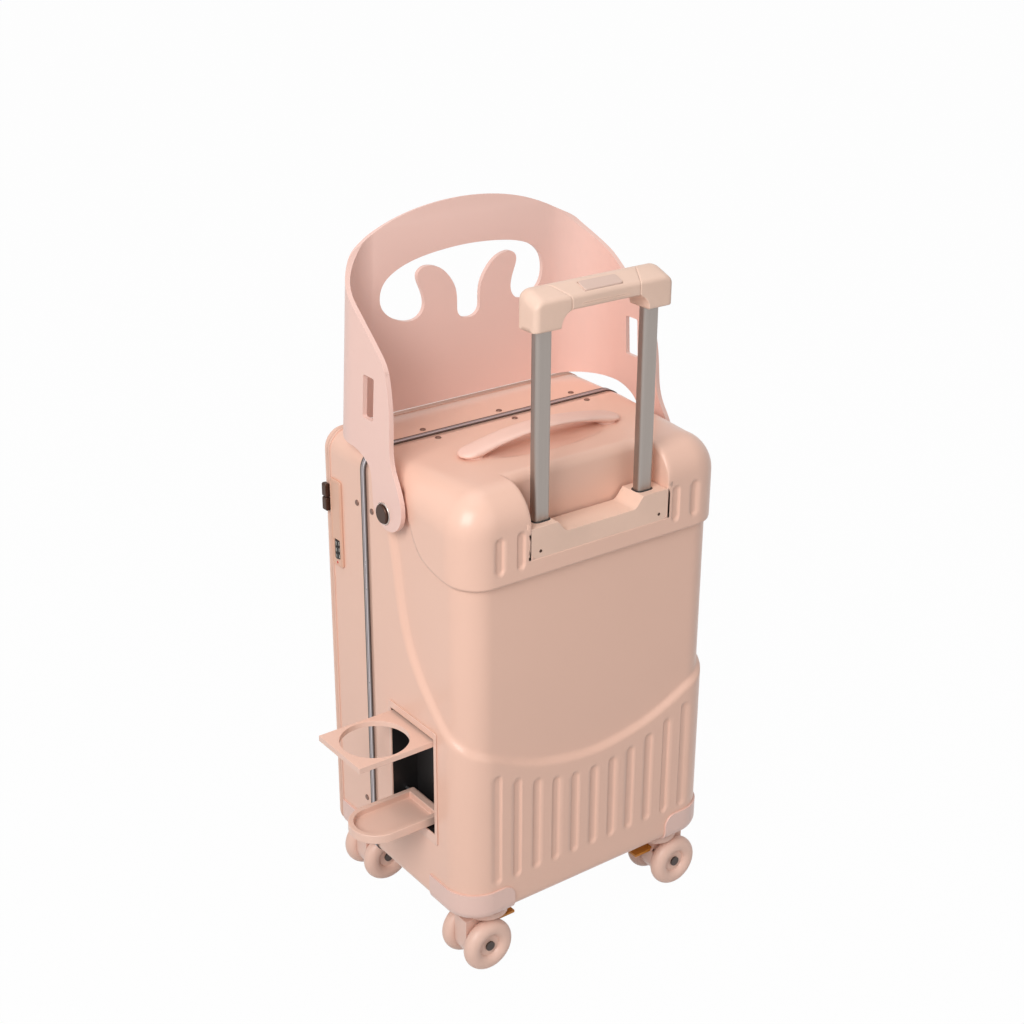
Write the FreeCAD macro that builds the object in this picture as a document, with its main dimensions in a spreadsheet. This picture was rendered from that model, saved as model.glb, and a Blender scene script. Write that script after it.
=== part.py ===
"""Ride on suitcase: a cabin case with a wrap-around guard that makes its top a child's seat.

Millimetres, +Z up. The origin lies on the floor under the middle of the case. The trolley
handle stands at the rear face (-Y), the zipped door is at the front (+Y), and the cup holder
and the combination lock are on the left side (-X).
"""
import FreeCAD, Part
import math
import os
import re
from types import SimpleNamespace
from FreeCAD import Placement, Rotation, Vector

# Driving sizes: name, value, meaning
SIZES = [
    ("case_width", 330, "width of the case over its raised bands"),
    ("case_top", 545, "height of the seat, the top of the case"),
    ("case_bottom", 71, "height of the underside of the shells"),
    ("rear_face", 125, "distance of the rear face behind the origin"),
    ("front_face", 130, "distance of the front face before the origin"),
    ("corner_round", 22, "corner radius of the case at the joint strip and before it"),
    ("rear_round", 36, "edge radius round the rear face"),
    ("dome_extra", 6, "amount by which the corner radius at the rear exceeds the rear edge radius"),
    ("foot_round", 12, "edge radius round the underside of the case"),
    ("front_round", 7, "edge radius round the front door"),
    ("wall", 2.5, "wall of the shells"),
    ("recess", 5, "depth of the wave panel under the raised bands"),
    ("band_edge", 452, "height of the lower edge of the upper band"),
    ("wave_low", 222, "lowest point of the wave on the rear face"),
    ("wave_rise", 48, "rise of the wave from the middle to the corners"),
    ("wave_reach", 150, "half width over which the wave rises"),
    ("channel_top", 524, "height at which the recessed channel ends under the guard arm"),
    ("groove_pitch", 25, "spacing of the moulded grooves"),
    ("groove_pairs", 5, "lower grooves on each side of the middle one"),
    ("groove_width", 11, "width of a groove"),
    ("groove_depth", 2.2, "depth of a groove"),
    ("groove_drop", 14, "distance of the groove tops under the wave"),
    ("groove_foot", 110, "height of the lower groove ends"),
    ("upper_groove_x", 98, "place of the inner upper grooves"),
    ("upper_groove_foot", 463, "height of the upper grooves' lower ends"),
    ("upper_groove_top", 507, "height of the upper grooves' upper ends"),
    ("seam_y", 50, "plane of the joint between the shells"),
    ("strip_width", 9, "width of the aluminium joint strip"),
    ("strip_proud", 1.2, "height of the strip over the shells"),
    ("strip_depth", 12, "depth of the strip into the case"),
    ("strip_groove", 2.4, "width of the groove along the strip"),
    ("flange_width", 30, "width of the strip's inner flange"),
    ("flange_thick", 2, "thickness of the strip's inner flange"),
    ("rivet_head", 3.2, "radius of a rivet head"),
    ("rivet_rise", 1.1, "height of a rivet head"),
    ("rivet_shank", 1.8, "radius of a rivet shank"),
    ("rivet_offset", 14, "distance of a rivet row from the joint plane"),
    ("rivet_pitch", 96.5, "spacing of the rivets"),
    ("rivet_first_x", -84, "place of the first rivet along the top"),
    ("rivet_first_z", 484, "height of the upper rivets on the sides"),
    ("rivet_last_z", 132, "height of the lower rivets on the sides"),
    ("door_depth", 12, "depth of the front door"),
    ("door_gap", 0.5, "gap between the door and the front shell"),
    ("zip_width", 3.4, "width of each half of the zip"),
    ("zip_proud", 0.8, "height of the zip over the shell"),
    ("zip_pull_height", 15, "height of a zip slider"),
    ("zip_pull_width", 8, "width of a zip slider along the case"),
    ("zip_pull_rise", 6, "height of a zip slider over the zip"),
    ("zip_pull_z", 473, "height at which the two zip sliders meet"),
    ("hinge_radius", 2.4, "radius of the door hinge knuckles"),
    ("hinge_pin", 1, "radius of the door hinge pin"),
    ("knuckle_play", 0.3, "clearance round the door hinge knuckles"),
    ("hinge_leaf", 1.2, "thickness of the door hinge leaves"),
    ("hinge_low", 130, "height of the lower end of the door hinge"),
    ("hinge_high", 490, "height of the upper end of the door hinge"),
    ("lock_low", 398, "height of the lower end of the lock plate"),
    ("lock_high", 496, "height of the upper end of the lock plate"),
    ("lock_width", 21, "width of the lock plate"),
    ("lock_thick", 2.4, "thickness of the lock plate"),
    ("dial_radius", 5, "radius of a lock dial"),
    ("dial_height", 6.4, "height of a lock dial"),
    ("dial_pitch", 7.2, "spacing of the lock dials"),
    ("dial_first", 410.5, "height of the lowest lock dial's middle"),
    ("dial_sink", 1.4, "depth of the dial spindle behind the case side"),
    ("spindle_radius", 1.2, "radius of the dial spindle"),
    ("tube_x", "=housing_half - collar_side", "half spacing of the trolley tubes"),
    ("collar_side", 21, "distance of a tube's axis inside the end of the housing"),
    ("tube_inset", 16, "distance of the tubes inside the rear face"),
    ("tube_width", 18, "width of a sliding tube"),
    ("tube_deep", 12, "depth of a sliding tube"),
    ("tube_round", 4, "corner radius of a sliding tube"),
    ("tube_wall", 1.2, "wall of the sliding tubes"),
    ("sleeve_wall", 1.4, "wall of the fixed outer tubes"),
    ("tube_play", 0.2, "clearance between sliding and fixed tubes"),
    ("tube_low", 440, "height of the lower ends of the sliding tubes"),
    ("sleeve_low", 112, "height of the lower ends of the fixed tubes"),
    ("sleeve_high", 480, "height of the upper ends of the fixed tubes"),
    ("foot_height", 14, "height of the trolley foot bracket"),
    ("cover_half", "=pocket_half + cover_side", "half width of the trolley cover panel"),
    ("cover_side", 7, "width of the cover panel beyond the trolley pocket"),
    ("cover_front", 98, "distance of the cover panel behind the origin"),
    ("housing_low", 470, "height of the trolley housing's lower edge"),
    ("housing_high", 502, "height of the trolley collars"),
    ("housing_trough", 490, "height of the trough between the collars"),
    ("housing_half", 86, "half width of the trolley housing"),
    ("housing_deep", 33, "depth of the trolley housing"),
    ("collar_width", 32, "width of a trolley collar"),
    ("housing_round", 8, "radius of the housing's lower corners and of the trough's ends"),
    ("trough_ramp", 10, "length of the ramp from a collar to the trough"),
    ("pocket_half", "=housing_half + pocket_side", "half width of the trolley pocket"),
    ("pocket_side", 2, "width of the trolley pocket beyond the housing"),
    ("pocket_deep", 37, "depth of the trolley pocket"),
    ("seat_play", 0.2, "clearance round the trolley housing"),
    ("grip_half", "=tube_x + grip_side", "half length of the grip"),
    ("grip_side", 18, "length of the grip beyond a tube's axis"),
    ("grip_low", 695, "height of the underside of the grip ends"),
    ("grip_bridge", 711, "height of the underside of the grip's middle"),
    ("grip_high", 732, "height of the top of the grip"),
    ("grip_deep", 30, "depth of the grip"),
    ("grip_end", 30, "length of each grip end"),
    ("grip_round", 7, "edge radius of the grip"),
    ("grip_fall", 8, "drop of the grip's top from its level part to its rear edge"),
    ("grip_level", 10, "depth of the level part of the grip's top"),
    ("socket_depth", 21, "depth of the tube sockets in the grip"),
    ("cover_split", 716, "height of the seam under the grip cover"),
    ("seam_near", 42, "half length of the grip cover at the rear edge"),
    ("seam_far", 60, "half length of the grip cover at the front edge"),
    ("button_half", 23, "half length of the push button"),
    ("button_deep", 13, "depth of the push button"),
    ("button_back", 4.5, "distance of the button's middle behind the tubes"),
    ("button_proud", 1.2, "height of the button over the grip"),
    ("button_travel", 3, "travel of the push button"),
    ("slot_play", 0.35, "clearance round the push button"),
    ("rod_radius", 1.6, "radius of the release rods"),
    ("rod_play", 0.2, "clearance round the release rods"),
    ("bar_height", 4, "height of the release bar"),
    ("bar_deep", 6, "depth of the release bar"),
    ("strap_half", 100, "half length of the carry strap"),
    ("strap_width", 26, "width of the carry strap"),
    ("strap_thick", 6, "thickness of the carry strap"),
    ("strap_bow", 10, "rise of the strap's middle over its ends"),
    ("strap_y", -25, "place of the strap along the case"),
    ("strap_lift", 9, "lift of the carry strap"),
    ("stud_x", 84, "half spacing of the strap studs"),
    ("stud_radius", 5, "radius of a strap stud"),
    ("stud_head", 8, "radius of a strap stud's head"),
    ("stud_play", 0.2, "clearance round a strap stud"),
    ("mount_radius", 11, "radius of a strap mount"),
    ("mount_height", 2.7, "height of a strap mount"),
    ("guard_gap", 3.5, "gap between the case sides and the guard arms"),
    ("guard_thick", 5, "thickness of the guard"),
    ("guard_front", 114.5, "distance of the guard's back before the origin"),
    ("guard_round", 54.5, "corner radius of the guard seen from above"),
    ("guard_low", 552, "height of the lower edge of the guard"),
    ("guard_top", 766, "height of the top of the guard"),
    ("guard_bend", 526, "height from which the guard arms lean inwards"),
    ("guard_lean", 13, "lean of a guard arm from the bend to the top"),
    ("hole_rise", 0.441, "share of the guard's height under the hand hole"),
    ("hole_crest", 0.77, "share of the guard's height up to the top of the hand hole"),
    ("slot_rise", 0.258, "share of the guard's height up to the middle of the belt slots"),
    ("slot_share", 0.203, "share of the guard's height taken by the belt slots"),
    ("pivot_y", 0, "place of the guard pivot along the case"),
    ("pivot_z", 497, "height of the guard pivot"),
    ("lobe_radius", 25.5, "radius of the round end of a guard arm"),
    ("bush_radius", 6, "radius of the pivot bush in the guard arm"),
    ("bush_flange", 9.5, "radius of the pivot bush beside the case"),
    ("bush_play", 0.05, "running clearance round the pivot bush"),
    ("arm_play", 0.3, "side clearance of a guard arm"),
    ("bolt_radius", 4, "radius of the pivot bolts"),
    ("bolt_head", 9.8, "radius of the pivot bolt heads"),
    ("bolt_rise", 3.4, "height of the pivot bolt heads"),
    ("nut_radius", 7, "radius of the pivot nuts"),
    ("nut_thick", 6, "thickness of the pivot nuts"),
    ("slot_y", 30, "place of the belt slots along the case"),
    ("slot_z", "=guard_low + slot_rise * (guard_top - guard_low)", "height of the middle of the belt slots"),
    ("slot_width", 19, "width of a belt slot"),
    ("slot_height", "=slot_share * (guard_top - guard_low)", "height of a belt slot"),
    ("hole_half", 103, "half width of the hand hole"),
    ("tongue_shift", 6, "distance of the hand hole's tongues to the right of the middle"),
    ("hole_low", "=guard_low + hole_rise * (guard_top - guard_low)", "height of the hand hole's lower edge"),
    ("hole_high", "=guard_low + hole_crest * (guard_top - guard_low)", "height of the hand hole's upper edge"),
    ("cup_y", -31, "place of the cup holder along the case"),
    ("cup_width", 78, "width of the fold-out cup plate"),
    ("cup_reach", "=cup_hole_reach + cup_hole + cup_nose", "reach of the cup plate from its hinge"),
    ("cup_thick", 6, "thickness of the cup plate"),
    ("cup_hole", "=cup_width / 2 - cup_margin", "radius of the cup hole"),
    ("cup_margin", 3.5, "width of the plate beside the cup hole"),
    ("cup_root", 13.5, "width of the plate between its hinge and the cup hole"),
    ("cup_nose", 6.5, "width of the plate beyond the cup hole"),
    ("fold_gap", 2, "gap between the folded plate and the tray"),
    ("cup_hole_reach", "=cup_hole + cup_root", "distance of the cup hole from the plate's hinge"),
    ("cup_axis_z", "=tray_axis_z + tray_height / 2 + fold_gap + cup_reach", "height of the cup plate's hinge"),
    ("tray_axis_z", 168, "height of the cup tray's hinge"),
    ("tray_width", 60, "width of the cup tray"),
    ("tray_reach", 92, "reach of the cup tray from its hinge"),
    ("tray_height", 10, "height of the cup tray's rim"),
    ("tray_wall", 3, "wall of the cup tray"),
    ("tray_layer", 10, "distance of the folded tray behind the folded plate"),
    ("cup_play", 0.5, "clearance round the folded cup plate"),
    ("cup_rim", 2.5, "width of the cup holder's bezel"),
    ("bezel_low", "=tray_axis_z - tray_height - bezel_foot", "height of the bezel's lower edge"),
    ("bezel_foot", 12, "height of the bezel below the cup recess"),
    ("bezel_head", 8, "height of the bezel above the cup recess"),
    ("bezel_high", "=cup_axis_z + cup_thick + bezel_head", "height of the bezel's upper edge"),
    ("bezel_proud", 1.6, "height of the bezel over the case side"),
    ("cup_box_deep", 32, "depth of the cup recess"),
    ("cup_box_wall", 1.8, "wall of the cup recess"),
    ("cup_pin", 1.5, "radius of the cup hinge pins"),
    ("pin_play", 0.05, "running clearance round the hinge pins"),
    ("bracket_thick", 2, "thickness of the corner brackets"),
    ("bracket_top", 103, "height of the corner brackets' upper edge"),
    ("bracket_rear_x", 104, "place of the bracket ends along the rear face"),
    ("bracket_round", 13, "corner radius of the bracket ends"),
    ("bracket_side", 60, "place of the bracket ends along the sides"),
    ("boss_low", 66, "height of the lower face of the caster bosses"),
    ("boss_radius", 24, "radius of the caster bosses"),
    ("caster_x", 118, "half spacing of the casters"),
    ("caster_rear", 92, "distance of the rear casters behind the origin"),
    ("caster_front", 106, "distance of the front casters before the origin"),
    ("swivel_radius", 5, "radius of the swivel pins"),
    ("swivel_play", 0.05, "running clearance of the swivel pins"),
    ("swivel_gap", 0.3, "gap over the caster forks"),
    ("fork_hub", 24, "radius of the fork's hub"),
    ("fork_hub_low", 59.3, "height of the underside of the fork's hub"),
    ("fork_width", 21, "width of the fork between the wheels"),
    ("fork_half", 9, "half length of the fork round its pin and axle"),
    ("fork_disc", 21, "radius of the fork's round cheek between the wheels"),
    ("trail", 11, "trail of the caster wheels"),
    ("wheel_radius", 29, "radius of the caster wheels"),
    ("wheel_width", 18, "width of a caster wheel"),
    ("wheel_gap", 0.5, "gap between a wheel and the fork"),
    ("wheel_core", 12.5, "width of a wheel's core"),
    ("axle_radius", 3, "radius of the axles"),
    ("axle_play", 0.05, "running clearance of the axles"),
    ("axle_cap", 5.4, "radius of the axle caps"),
    ("axle_cap_thick", 1.6, "thickness of the axle caps"),
    ("brake_length", 22, "length of a brake tab"),
    ("brake_width", 16, "width of a brake tab"),
    ("brake_thick", 3, "thickness of a brake tab"),
    ("brake_z", 44, "height of the brake tab's hinge"),
    ("brake_pin", 1.5, "radius of the brake tab's pin"),
]

doc = FreeCAD.newDocument("ride_on_suitcase")
sheet = doc.addObject("Spreadsheet::Sheet", "Sizes")
for row, (alias, value, meaning) in enumerate(SIZES, start=1):
    sheet.set("A%d" % row, meaning)
    sheet.setAlias("B%d" % row, alias)
for row, (alias, value, meaning) in enumerate(SIZES, start=1):
    sheet.set("B%d" % row, str(value))
doc.recompute()

s = SimpleNamespace(**{alias: float(sheet.get(alias)) for alias, value, meaning in SIZES})
ALIASES = {alias for alias, value, meaning in SIZES}
SUBPARTS = []
ALONG_Y = Rotation(Vector(1, 0, 0), -90)
SIDES = (-1, 1)
FAR = 400


def cells(text):
    """An expression in which each size's name points at its cell."""
    point = lambda word: "Sizes." + word.group() if word.group() in ALIASES else word.group()
    return re.sub(r"[a-z][a-z0-9_]*", point, str(text))


def place(solid, at, turn=None):
    """Binds a solid's place to the sheet and turns it."""
    if turn is not None:
        solid.Placement = Placement(Vector(), turn)
    for axis, text in zip("xyz", at):
        solid.setExpression("Placement.Base." + axis, cells(text))
    return solid


def box(name, size, at):
    """A box by its lengths and its lowest corner."""
    solid = doc.addObject("Part::Box", name)
    for side, text in zip(("Length", "Width", "Height"), size):
        solid.setExpression(side, cells(text))
    return place(solid, at)


def mid_box(name, size, centre):
    """A box by its lengths and its middle."""
    corner = ["(%s) - (%s) / 2" % (middle, length) for middle, length in zip(centre, size)]
    return box(name, size, corner)


def cylinder(name, radius, length, at, turn=None):
    """A cylinder from one end, along Z or along the turned axis."""
    solid = doc.addObject("Part::Cylinder", name)
    solid.setExpression("Radius", cells(radius))
    solid.setExpression("Height", cells(length))
    return place(solid, at, turn)


def torus(name, ring, tube, at, turn=None):
    """A ring of round section."""
    solid = doc.addObject("Part::Torus", name)
    solid.setExpression("Radius1", cells(ring))
    solid.setExpression("Radius2", cells(tube))
    return place(solid, at, turn)


def fuse(name, solids):
    joined = doc.addObject("Part::MultiFuse", name)
    joined.Shapes = solids
    return joined


def cut(name, base, tools):
    """A solid with one or more tools taken away."""
    taken = tools[0]
    if len(tools) > 1:
        taken = fuse(name + "_tools", tools)
    left = doc.addObject("Part::Cut", name)
    left.Base = base
    left.Tool = taken
    return left


def eased(name, base, along, radius):
    """A solid with its straight edges along one axis rounded."""
    doc.recompute()
    rounded = doc.addObject("Part::Fillet", name)
    rounded.Base = base
    picked = []
    for index, edge in enumerate(base.Shape.Edges, start=1):
        run = edge.Vertexes[-1].Point - edge.Vertexes[0].Point
        straight = isinstance(edge.Curve, Part.Line)
        if straight and run.Length > 1e-6 and abs(abs(run.normalize().dot(along)) - 1) < 1e-6:
            picked.append((index, radius, radius))
    rounded.Edges = picked
    return rounded


def group(name, solids):
    """Separate solids that share one node."""
    held = doc.addObject("Part::Compound", name)
    held.Links = solids
    return held


def shaped(name, shape, placement=None):
    """A solid worked out from the sheet's sizes."""
    feature = doc.addObject("Part::Feature", name)
    feature.Shape = shape
    if placement is not None:
        feature.Placement = placement
    return feature


def subpart(label, solid):
    solid.Label = label
    SUBPARTS.append(solid)
    return solid


def closed_face(edges):
    return Part.Face(Part.Wire(Part.__sortEdges__(edges)))


def polygon(points):
    return Part.Face(Part.makePolygon(list(points) + [points[0]]))


def curve(points):
    """A smooth edge through points."""
    line = Part.BSplineCurve()
    line.interpolate(points)
    return line.toShape()


def rounded_outline(half, low, high, radius, foot, y):
    """The case outline seen from the front: wide upper and small lower corners, in the plane y."""
    edges = []
    for x, z, flip_x, flip_z, r in ((half, low, 1, -1, foot), (half, high, 1, 1, radius),
                                    (-half, high, -1, 1, radius), (-half, low, -1, -1, foot)):
        slope = r * math.sqrt(0.5)
        centre = Vector(x - flip_x * r, y, z - flip_z * r)
        start = centre + Vector(flip_x * r, 0, 0)
        middle = centre + Vector(flip_x * slope, 0, flip_z * slope)
        end = centre + Vector(0, 0, flip_z * r)
        edges.append(Part.Arc(start, middle, end).toShape())
    right, left = half, -half
    edges.append(Part.makeLine(Vector(right, y, low + foot), Vector(right, y, high - radius)))
    edges.append(Part.makeLine(Vector(left, y, low + foot), Vector(left, y, high - radius)))
    edges.append(Part.makeLine(Vector(left + foot, y, low), Vector(right - foot, y, low)))
    edges.append(Part.makeLine(Vector(left + radius, y, high), Vector(right - radius, y, high)))
    return closed_face(edges)


def foot_radius(inset):
    """Lower corner radius of an outline that lies inside the case outline."""
    return max(s.foot_round - inset, 1)


def case_block(inset, near, far):
    """A block of the case outline, inset on all sides, from the plane near to the plane far."""
    face = rounded_outline(s.case_width / 2 - inset, s.case_bottom + inset, s.case_top - inset,
                           s.corner_round - inset, foot_radius(inset), near)
    return face.extrude(Vector(0, far - near, 0))


def edge_loop(solid, y):
    """The edges of a solid that lie in the plane y."""
    flat = lambda edge: edge.BoundBox.YLength < 1e-6 and abs(edge.BoundBox.YMin - y) < 1e-6
    return [edge for edge in solid.Edges if flat(edge)]


def rear_form(half, low, high, corner, foot, rear, edge, near):
    """A block with its rear edges deeply rounded, its upper corners wider there, and a small radius under it."""
    middle = (low + high) / 2
    wide = edge + s.dome_extra
    start = rear + wide
    level = s.seam_y - s.flange_width / 2 - s.wall
    outlines = [rounded_outline(half, low - high, high, radius, radius, y)
                for radius, y in ((corner, near), (corner, level), (wide, start))]
    dome = outlines[-1].extrude(Vector(0, rear - start, 0))
    dome = dome.makeFillet(edge, edge_loop(dome, rear))
    tall = Part.makeLoft([outline.OuterWire for outline in outlines], True, True).fuse(dome)
    upper = tall.common(Part.makeBox(4 * half, 2 * FAR, FAR, Vector(-2 * half, -FAR, middle)))
    slope = edge * (1 - math.sqrt(0.5))
    plan = [Part.makeLine(Vector(-half, near, low), Vector(half, near, low)),
            Part.makeLine(Vector(edge - half, rear, low), Vector(half - edge, rear, low))]
    for side in SIDES:
        turn = Vector(side * half, rear + edge, low)
        plan.append(Part.makeLine(Vector(side * half, near, low), turn))
        plan.append(Part.Arc(turn, Vector(side * (half - slope), rear + slope, low),
                             Vector(side * (half - edge), rear, low)).toShape())
    lower = closed_face(plan).extrude(Vector(0, 0, middle - low))
    under = [line for line in lower.Edges
             if line.BoundBox.ZMax < low + 1e-6 and line.BoundBox.YMin < near - 1e-6]
    return upper.fuse(lower.makeFillet(foot, under)).removeSplitter()


def rear_block(inset, near):
    """The rear part of the case, inset on all sides."""
    return rear_form(s.case_width / 2 - inset, s.case_bottom + inset, s.case_top - inset,
                     s.corner_round - inset, foot_radius(inset), -s.rear_face + inset,
                     s.rear_round - inset, near)


def slot_prism(x, low, high, width, near, far):
    """A round-ended upright slot, extruded along Y."""
    r = width / 2
    top = Part.Arc(Vector(x + r, near, high - r), Vector(x, near, high), Vector(x - r, near, high - r))
    foot = Part.Arc(Vector(x - r, near, low + r), Vector(x, near, low), Vector(x + r, near, low + r))
    sides = [Part.makeLine(Vector(x + side * r, near, low + r), Vector(x + side * r, near, high - r))
             for side in SIDES]
    return closed_face([top.toShape(), foot.toShape()] + sides).extrude(Vector(0, far - near, 0))


def upright_tube(x, y, width, deep, radius, low, high):
    """A bar of rounded rectangular section standing at x, y."""
    bar = Part.makeBox(width, deep, high - low, Vector(x - width / 2, y - deep / 2, low))
    upright = [edge for edge in bar.Edges if edge.BoundBox.ZLength > 1e-6]
    return bar.makeFillet(radius, upright)


def joined(solids):
    return solids[0].multiFuse(solids[1:]).removeSplitter() if len(solids) > 1 else solids[0]


# Places that follow from the sizes
HALF = s.case_width / 2
SHELL = s.wall + s.recess
TUBE_Y = s.tube_inset - s.rear_face
DOOR_Y = s.front_face - s.door_depth
STRIP_REAR = s.seam_y - s.strip_width / 2
STRIP_FRONT = s.seam_y + s.strip_width / 2
ARM_INNER = HALF + s.guard_gap
ARM_OUTER = ARM_INNER + s.guard_thick
SLEEVE_WIDTH = s.tube_width + 2 * s.tube_play + 2 * s.sleeve_wall
SLEEVE_DEEP = s.tube_deep + 2 * s.tube_play + 2 * s.sleeve_wall
SLEEVE_ROUND = s.tube_round + s.tube_play + s.sleeve_wall


def wave_height(x):
    """Height of the wave on the rear face: a shallow bowl, level at the corners."""
    return s.wave_low + s.wave_rise * min(abs(x) / s.wave_reach, 1) ** 2


def wave_region():
    """The space of the recessed panel: across the rear face and up both sides to the guard arms."""
    corner = s.wave_low + s.wave_rise
    behind = -s.rear_face - 2 * s.recess
    inside = -s.rear_face + s.rear_round
    reach = HALF + 2 * s.recess
    bowl_points = [Vector(x, behind, wave_height(x))
                   for x in (-s.wave_reach, -0.6 * s.wave_reach, 0, 0.6 * s.wave_reach, s.wave_reach)]
    rear_face = closed_face([
        curve(bowl_points),
        Part.makeLine(bowl_points[-1], Vector(reach, behind, corner)),
        Part.makeLine(Vector(reach, behind, corner), Vector(reach, behind, s.band_edge)),
        Part.makeLine(Vector(reach, behind, s.band_edge), Vector(-reach, behind, s.band_edge)),
        Part.makeLine(Vector(-reach, behind, s.band_edge), Vector(-reach, behind, corner)),
        Part.makeLine(Vector(-reach, behind, corner), bowl_points[0]),
    ])
    regions = [rear_face.extrude(Vector(0, inside - behind, 0))]
    lobe = s.lobe_radius
    channel_rear = s.pivot_y - lobe + 6
    channel_front = s.pivot_y + lobe / 2
    upper = [Vector(0, inside, s.band_edge), Vector(0, channel_rear - 36, s.band_edge + 4),
             Vector(0, channel_rear - 15, s.band_edge + 24), Vector(0, channel_rear, s.channel_top)]
    lower = [Vector(0, inside, corner), Vector(0, channel_front - 58, corner + 46),
             Vector(0, channel_front - 24, corner + 102), Vector(0, channel_front - 9, s.band_edge - 18),
             Vector(0, channel_front, s.channel_top)]
    side_face = closed_face([
        curve(upper),
        Part.makeLine(upper[-1], lower[-1]),
        curve(lower),
        Part.makeLine(lower[0], Vector(0, behind, corner)),
        Part.makeLine(Vector(0, behind, corner), Vector(0, behind, s.band_edge)),
        Part.makeLine(Vector(0, behind, s.band_edge), upper[0]),
    ])
    for side in SIDES:
        start = side * (HALF - s.rear_round)
        slab = side_face.extrude(Vector(side * (s.rear_round + 2 * s.recess), 0, 0))
        slab.translate(Vector(start, 0, 0))
        regions.append(slab)
    return regions


def rivet_places():
    """Foot and outward direction of each rivet, in rows on both sides of the joint strip."""
    places = []
    for row in SIDES:
        y = s.seam_y + row * s.rivet_offset
        for step in range(3):
            places.append((Vector(s.rivet_first_x + step * s.rivet_pitch, y, s.case_top), Vector(0, 0, 1)))
        for side in SIDES:
            for height in (s.rivet_first_z, s.rivet_last_z):
                places.append((Vector(side * HALF, y, height), Vector(side, 0, 0)))
    return places


def rivet(foot, outward):
    """A domed head on the shell with its shank through the shell and the strip's flange."""
    head = Part.makeCylinder(s.rivet_head, s.rivet_rise, foot, outward)
    crown = [edge for edge in head.Edges if edge.CenterOfMass.distanceToPoint(foot) > s.rivet_rise / 2
             and isinstance(edge.Curve, Part.Circle)]
    head = head.makeFillet(s.rivet_rise * 0.8, crown)
    length = SHELL + s.flange_thick
    shank = Part.makeCylinder(s.rivet_shank, length, foot - outward * length, outward)
    return head.fuse(shank)


RIVETS = [rivet(foot, outward) for foot, outward in rivet_places()]
SHANK_HOLES = Part.makeCompound(RIVETS)


def cup_opening():
    """The opening in the left side for the cup recess box."""
    width = s.cup_width + 2 * s.cup_play + 2 * s.cup_box_wall
    low = s.tray_axis_z - s.tray_height - s.cup_box_wall
    high = s.cup_axis_z + s.cup_thick + s.cup_box_wall
    deep = s.cup_box_deep
    return Part.makeBox(deep + FAR, width, high - low, Vector(-HALF - FAR, s.cup_y - width / 2, low))


def pivot_holes(radius):
    holes = []
    for side in SIDES:
        foot = Vector(side * (HALF - 4 * SHELL), s.pivot_y, s.pivot_z)
        holes.append(Part.makeCylinder(radius, 6 * SHELL, foot, Vector(side, 0, 0)))
    return holes


def stud_holes(radius):
    return [Part.makeCylinder(radius, 4 * SHELL, Vector(side * s.stud_x, s.strap_y, s.case_top - 2 * SHELL))
            for side in SIDES]


def rear_shell():
    """Deep rear shell: raised bands, wave panel, grooves, trolley pocket and cup opening."""
    outer = rear_block(0, STRIP_REAR)
    panel = rear_block(s.recess, STRIP_REAR + s.recess)
    shell = outer
    for region in wave_region():
        shell = shell.cut(region.cut(panel))
    seat_half = s.housing_half + s.seat_play
    seat_deep = s.housing_deep + s.seat_play
    pocket = Part.makeBox(2 * s.pocket_half, s.pocket_deep + FAR, FAR,
                          Vector(-s.pocket_half, -s.rear_face - FAR, s.housing_high))
    seat = Part.makeBox(2 * seat_half, seat_deep + FAR, s.housing_high - s.housing_low + s.seat_play,
                        Vector(-seat_half, -s.rear_face - FAR, s.housing_low - s.seat_play))
    guard_wall = Part.makeBox(2 * (s.pocket_half + s.wall), s.pocket_deep + s.wall + FAR, FAR,
                              Vector(-s.pocket_half - s.wall, -s.rear_face - FAR,
                                     s.housing_low - s.seat_play - s.wall))
    inner_half = HALF - SHELL
    hollow = rear_form(inner_half, s.case_bottom + s.wall, s.case_top - s.wall, s.corner_round - SHELL,
                       foot_radius(SHELL), -s.rear_face + SHELL, s.rear_round - SHELL, STRIP_REAR)
    shell = shell.cut(hollow.cut(guard_wall))
    tools = [pocket, seat, cup_opening()]
    count = int(s.groove_pairs)
    near = -s.rear_face - s.recess
    far = -s.rear_face + s.groove_depth
    for step in range(-count, count + 1):
        x = step * s.groove_pitch
        tools.append(slot_prism(x, s.groove_foot, wave_height(x) - s.groove_drop, s.groove_width, near, far))
    for side in SIDES:
        for step in range(2):
            x = side * (s.upper_groove_x + step * s.groove_pitch)
            tools.append(slot_prism(x, s.upper_groove_foot, s.upper_groove_top, s.groove_width, near, far))
        tools.append(upright_tube(side * s.tube_x, TUBE_Y, SLEEVE_WIDTH, SLEEVE_DEEP, SLEEVE_ROUND,
                                  s.housing_low - 4 * s.wall, s.housing_high))
    tools += pivot_holes(s.bolt_radius)
    tools += stud_holes(s.stud_radius + s.stud_play)
    tools.append(SHANK_HOLES)
    for tool in tools:
        shell = shell.cut(tool)
    return shell


def lock_pocket():
    """Space behind the lock plate for the dials."""
    side = 2 * s.dial_radius + 1
    low = s.dial_first - s.dial_pitch / 2
    deep = s.dial_radius + s.dial_sink + 0.3
    return Part.makeBox(deep + s.lock_thick, side, 3 * s.dial_pitch,
                        Vector(-HALF - s.lock_thick, LOCK_Y - side / 2, low))


LOCK_FRONT = DOOR_Y - s.zip_width - 0.2
LOCK_Y = LOCK_FRONT - s.lock_width / 2


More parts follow.
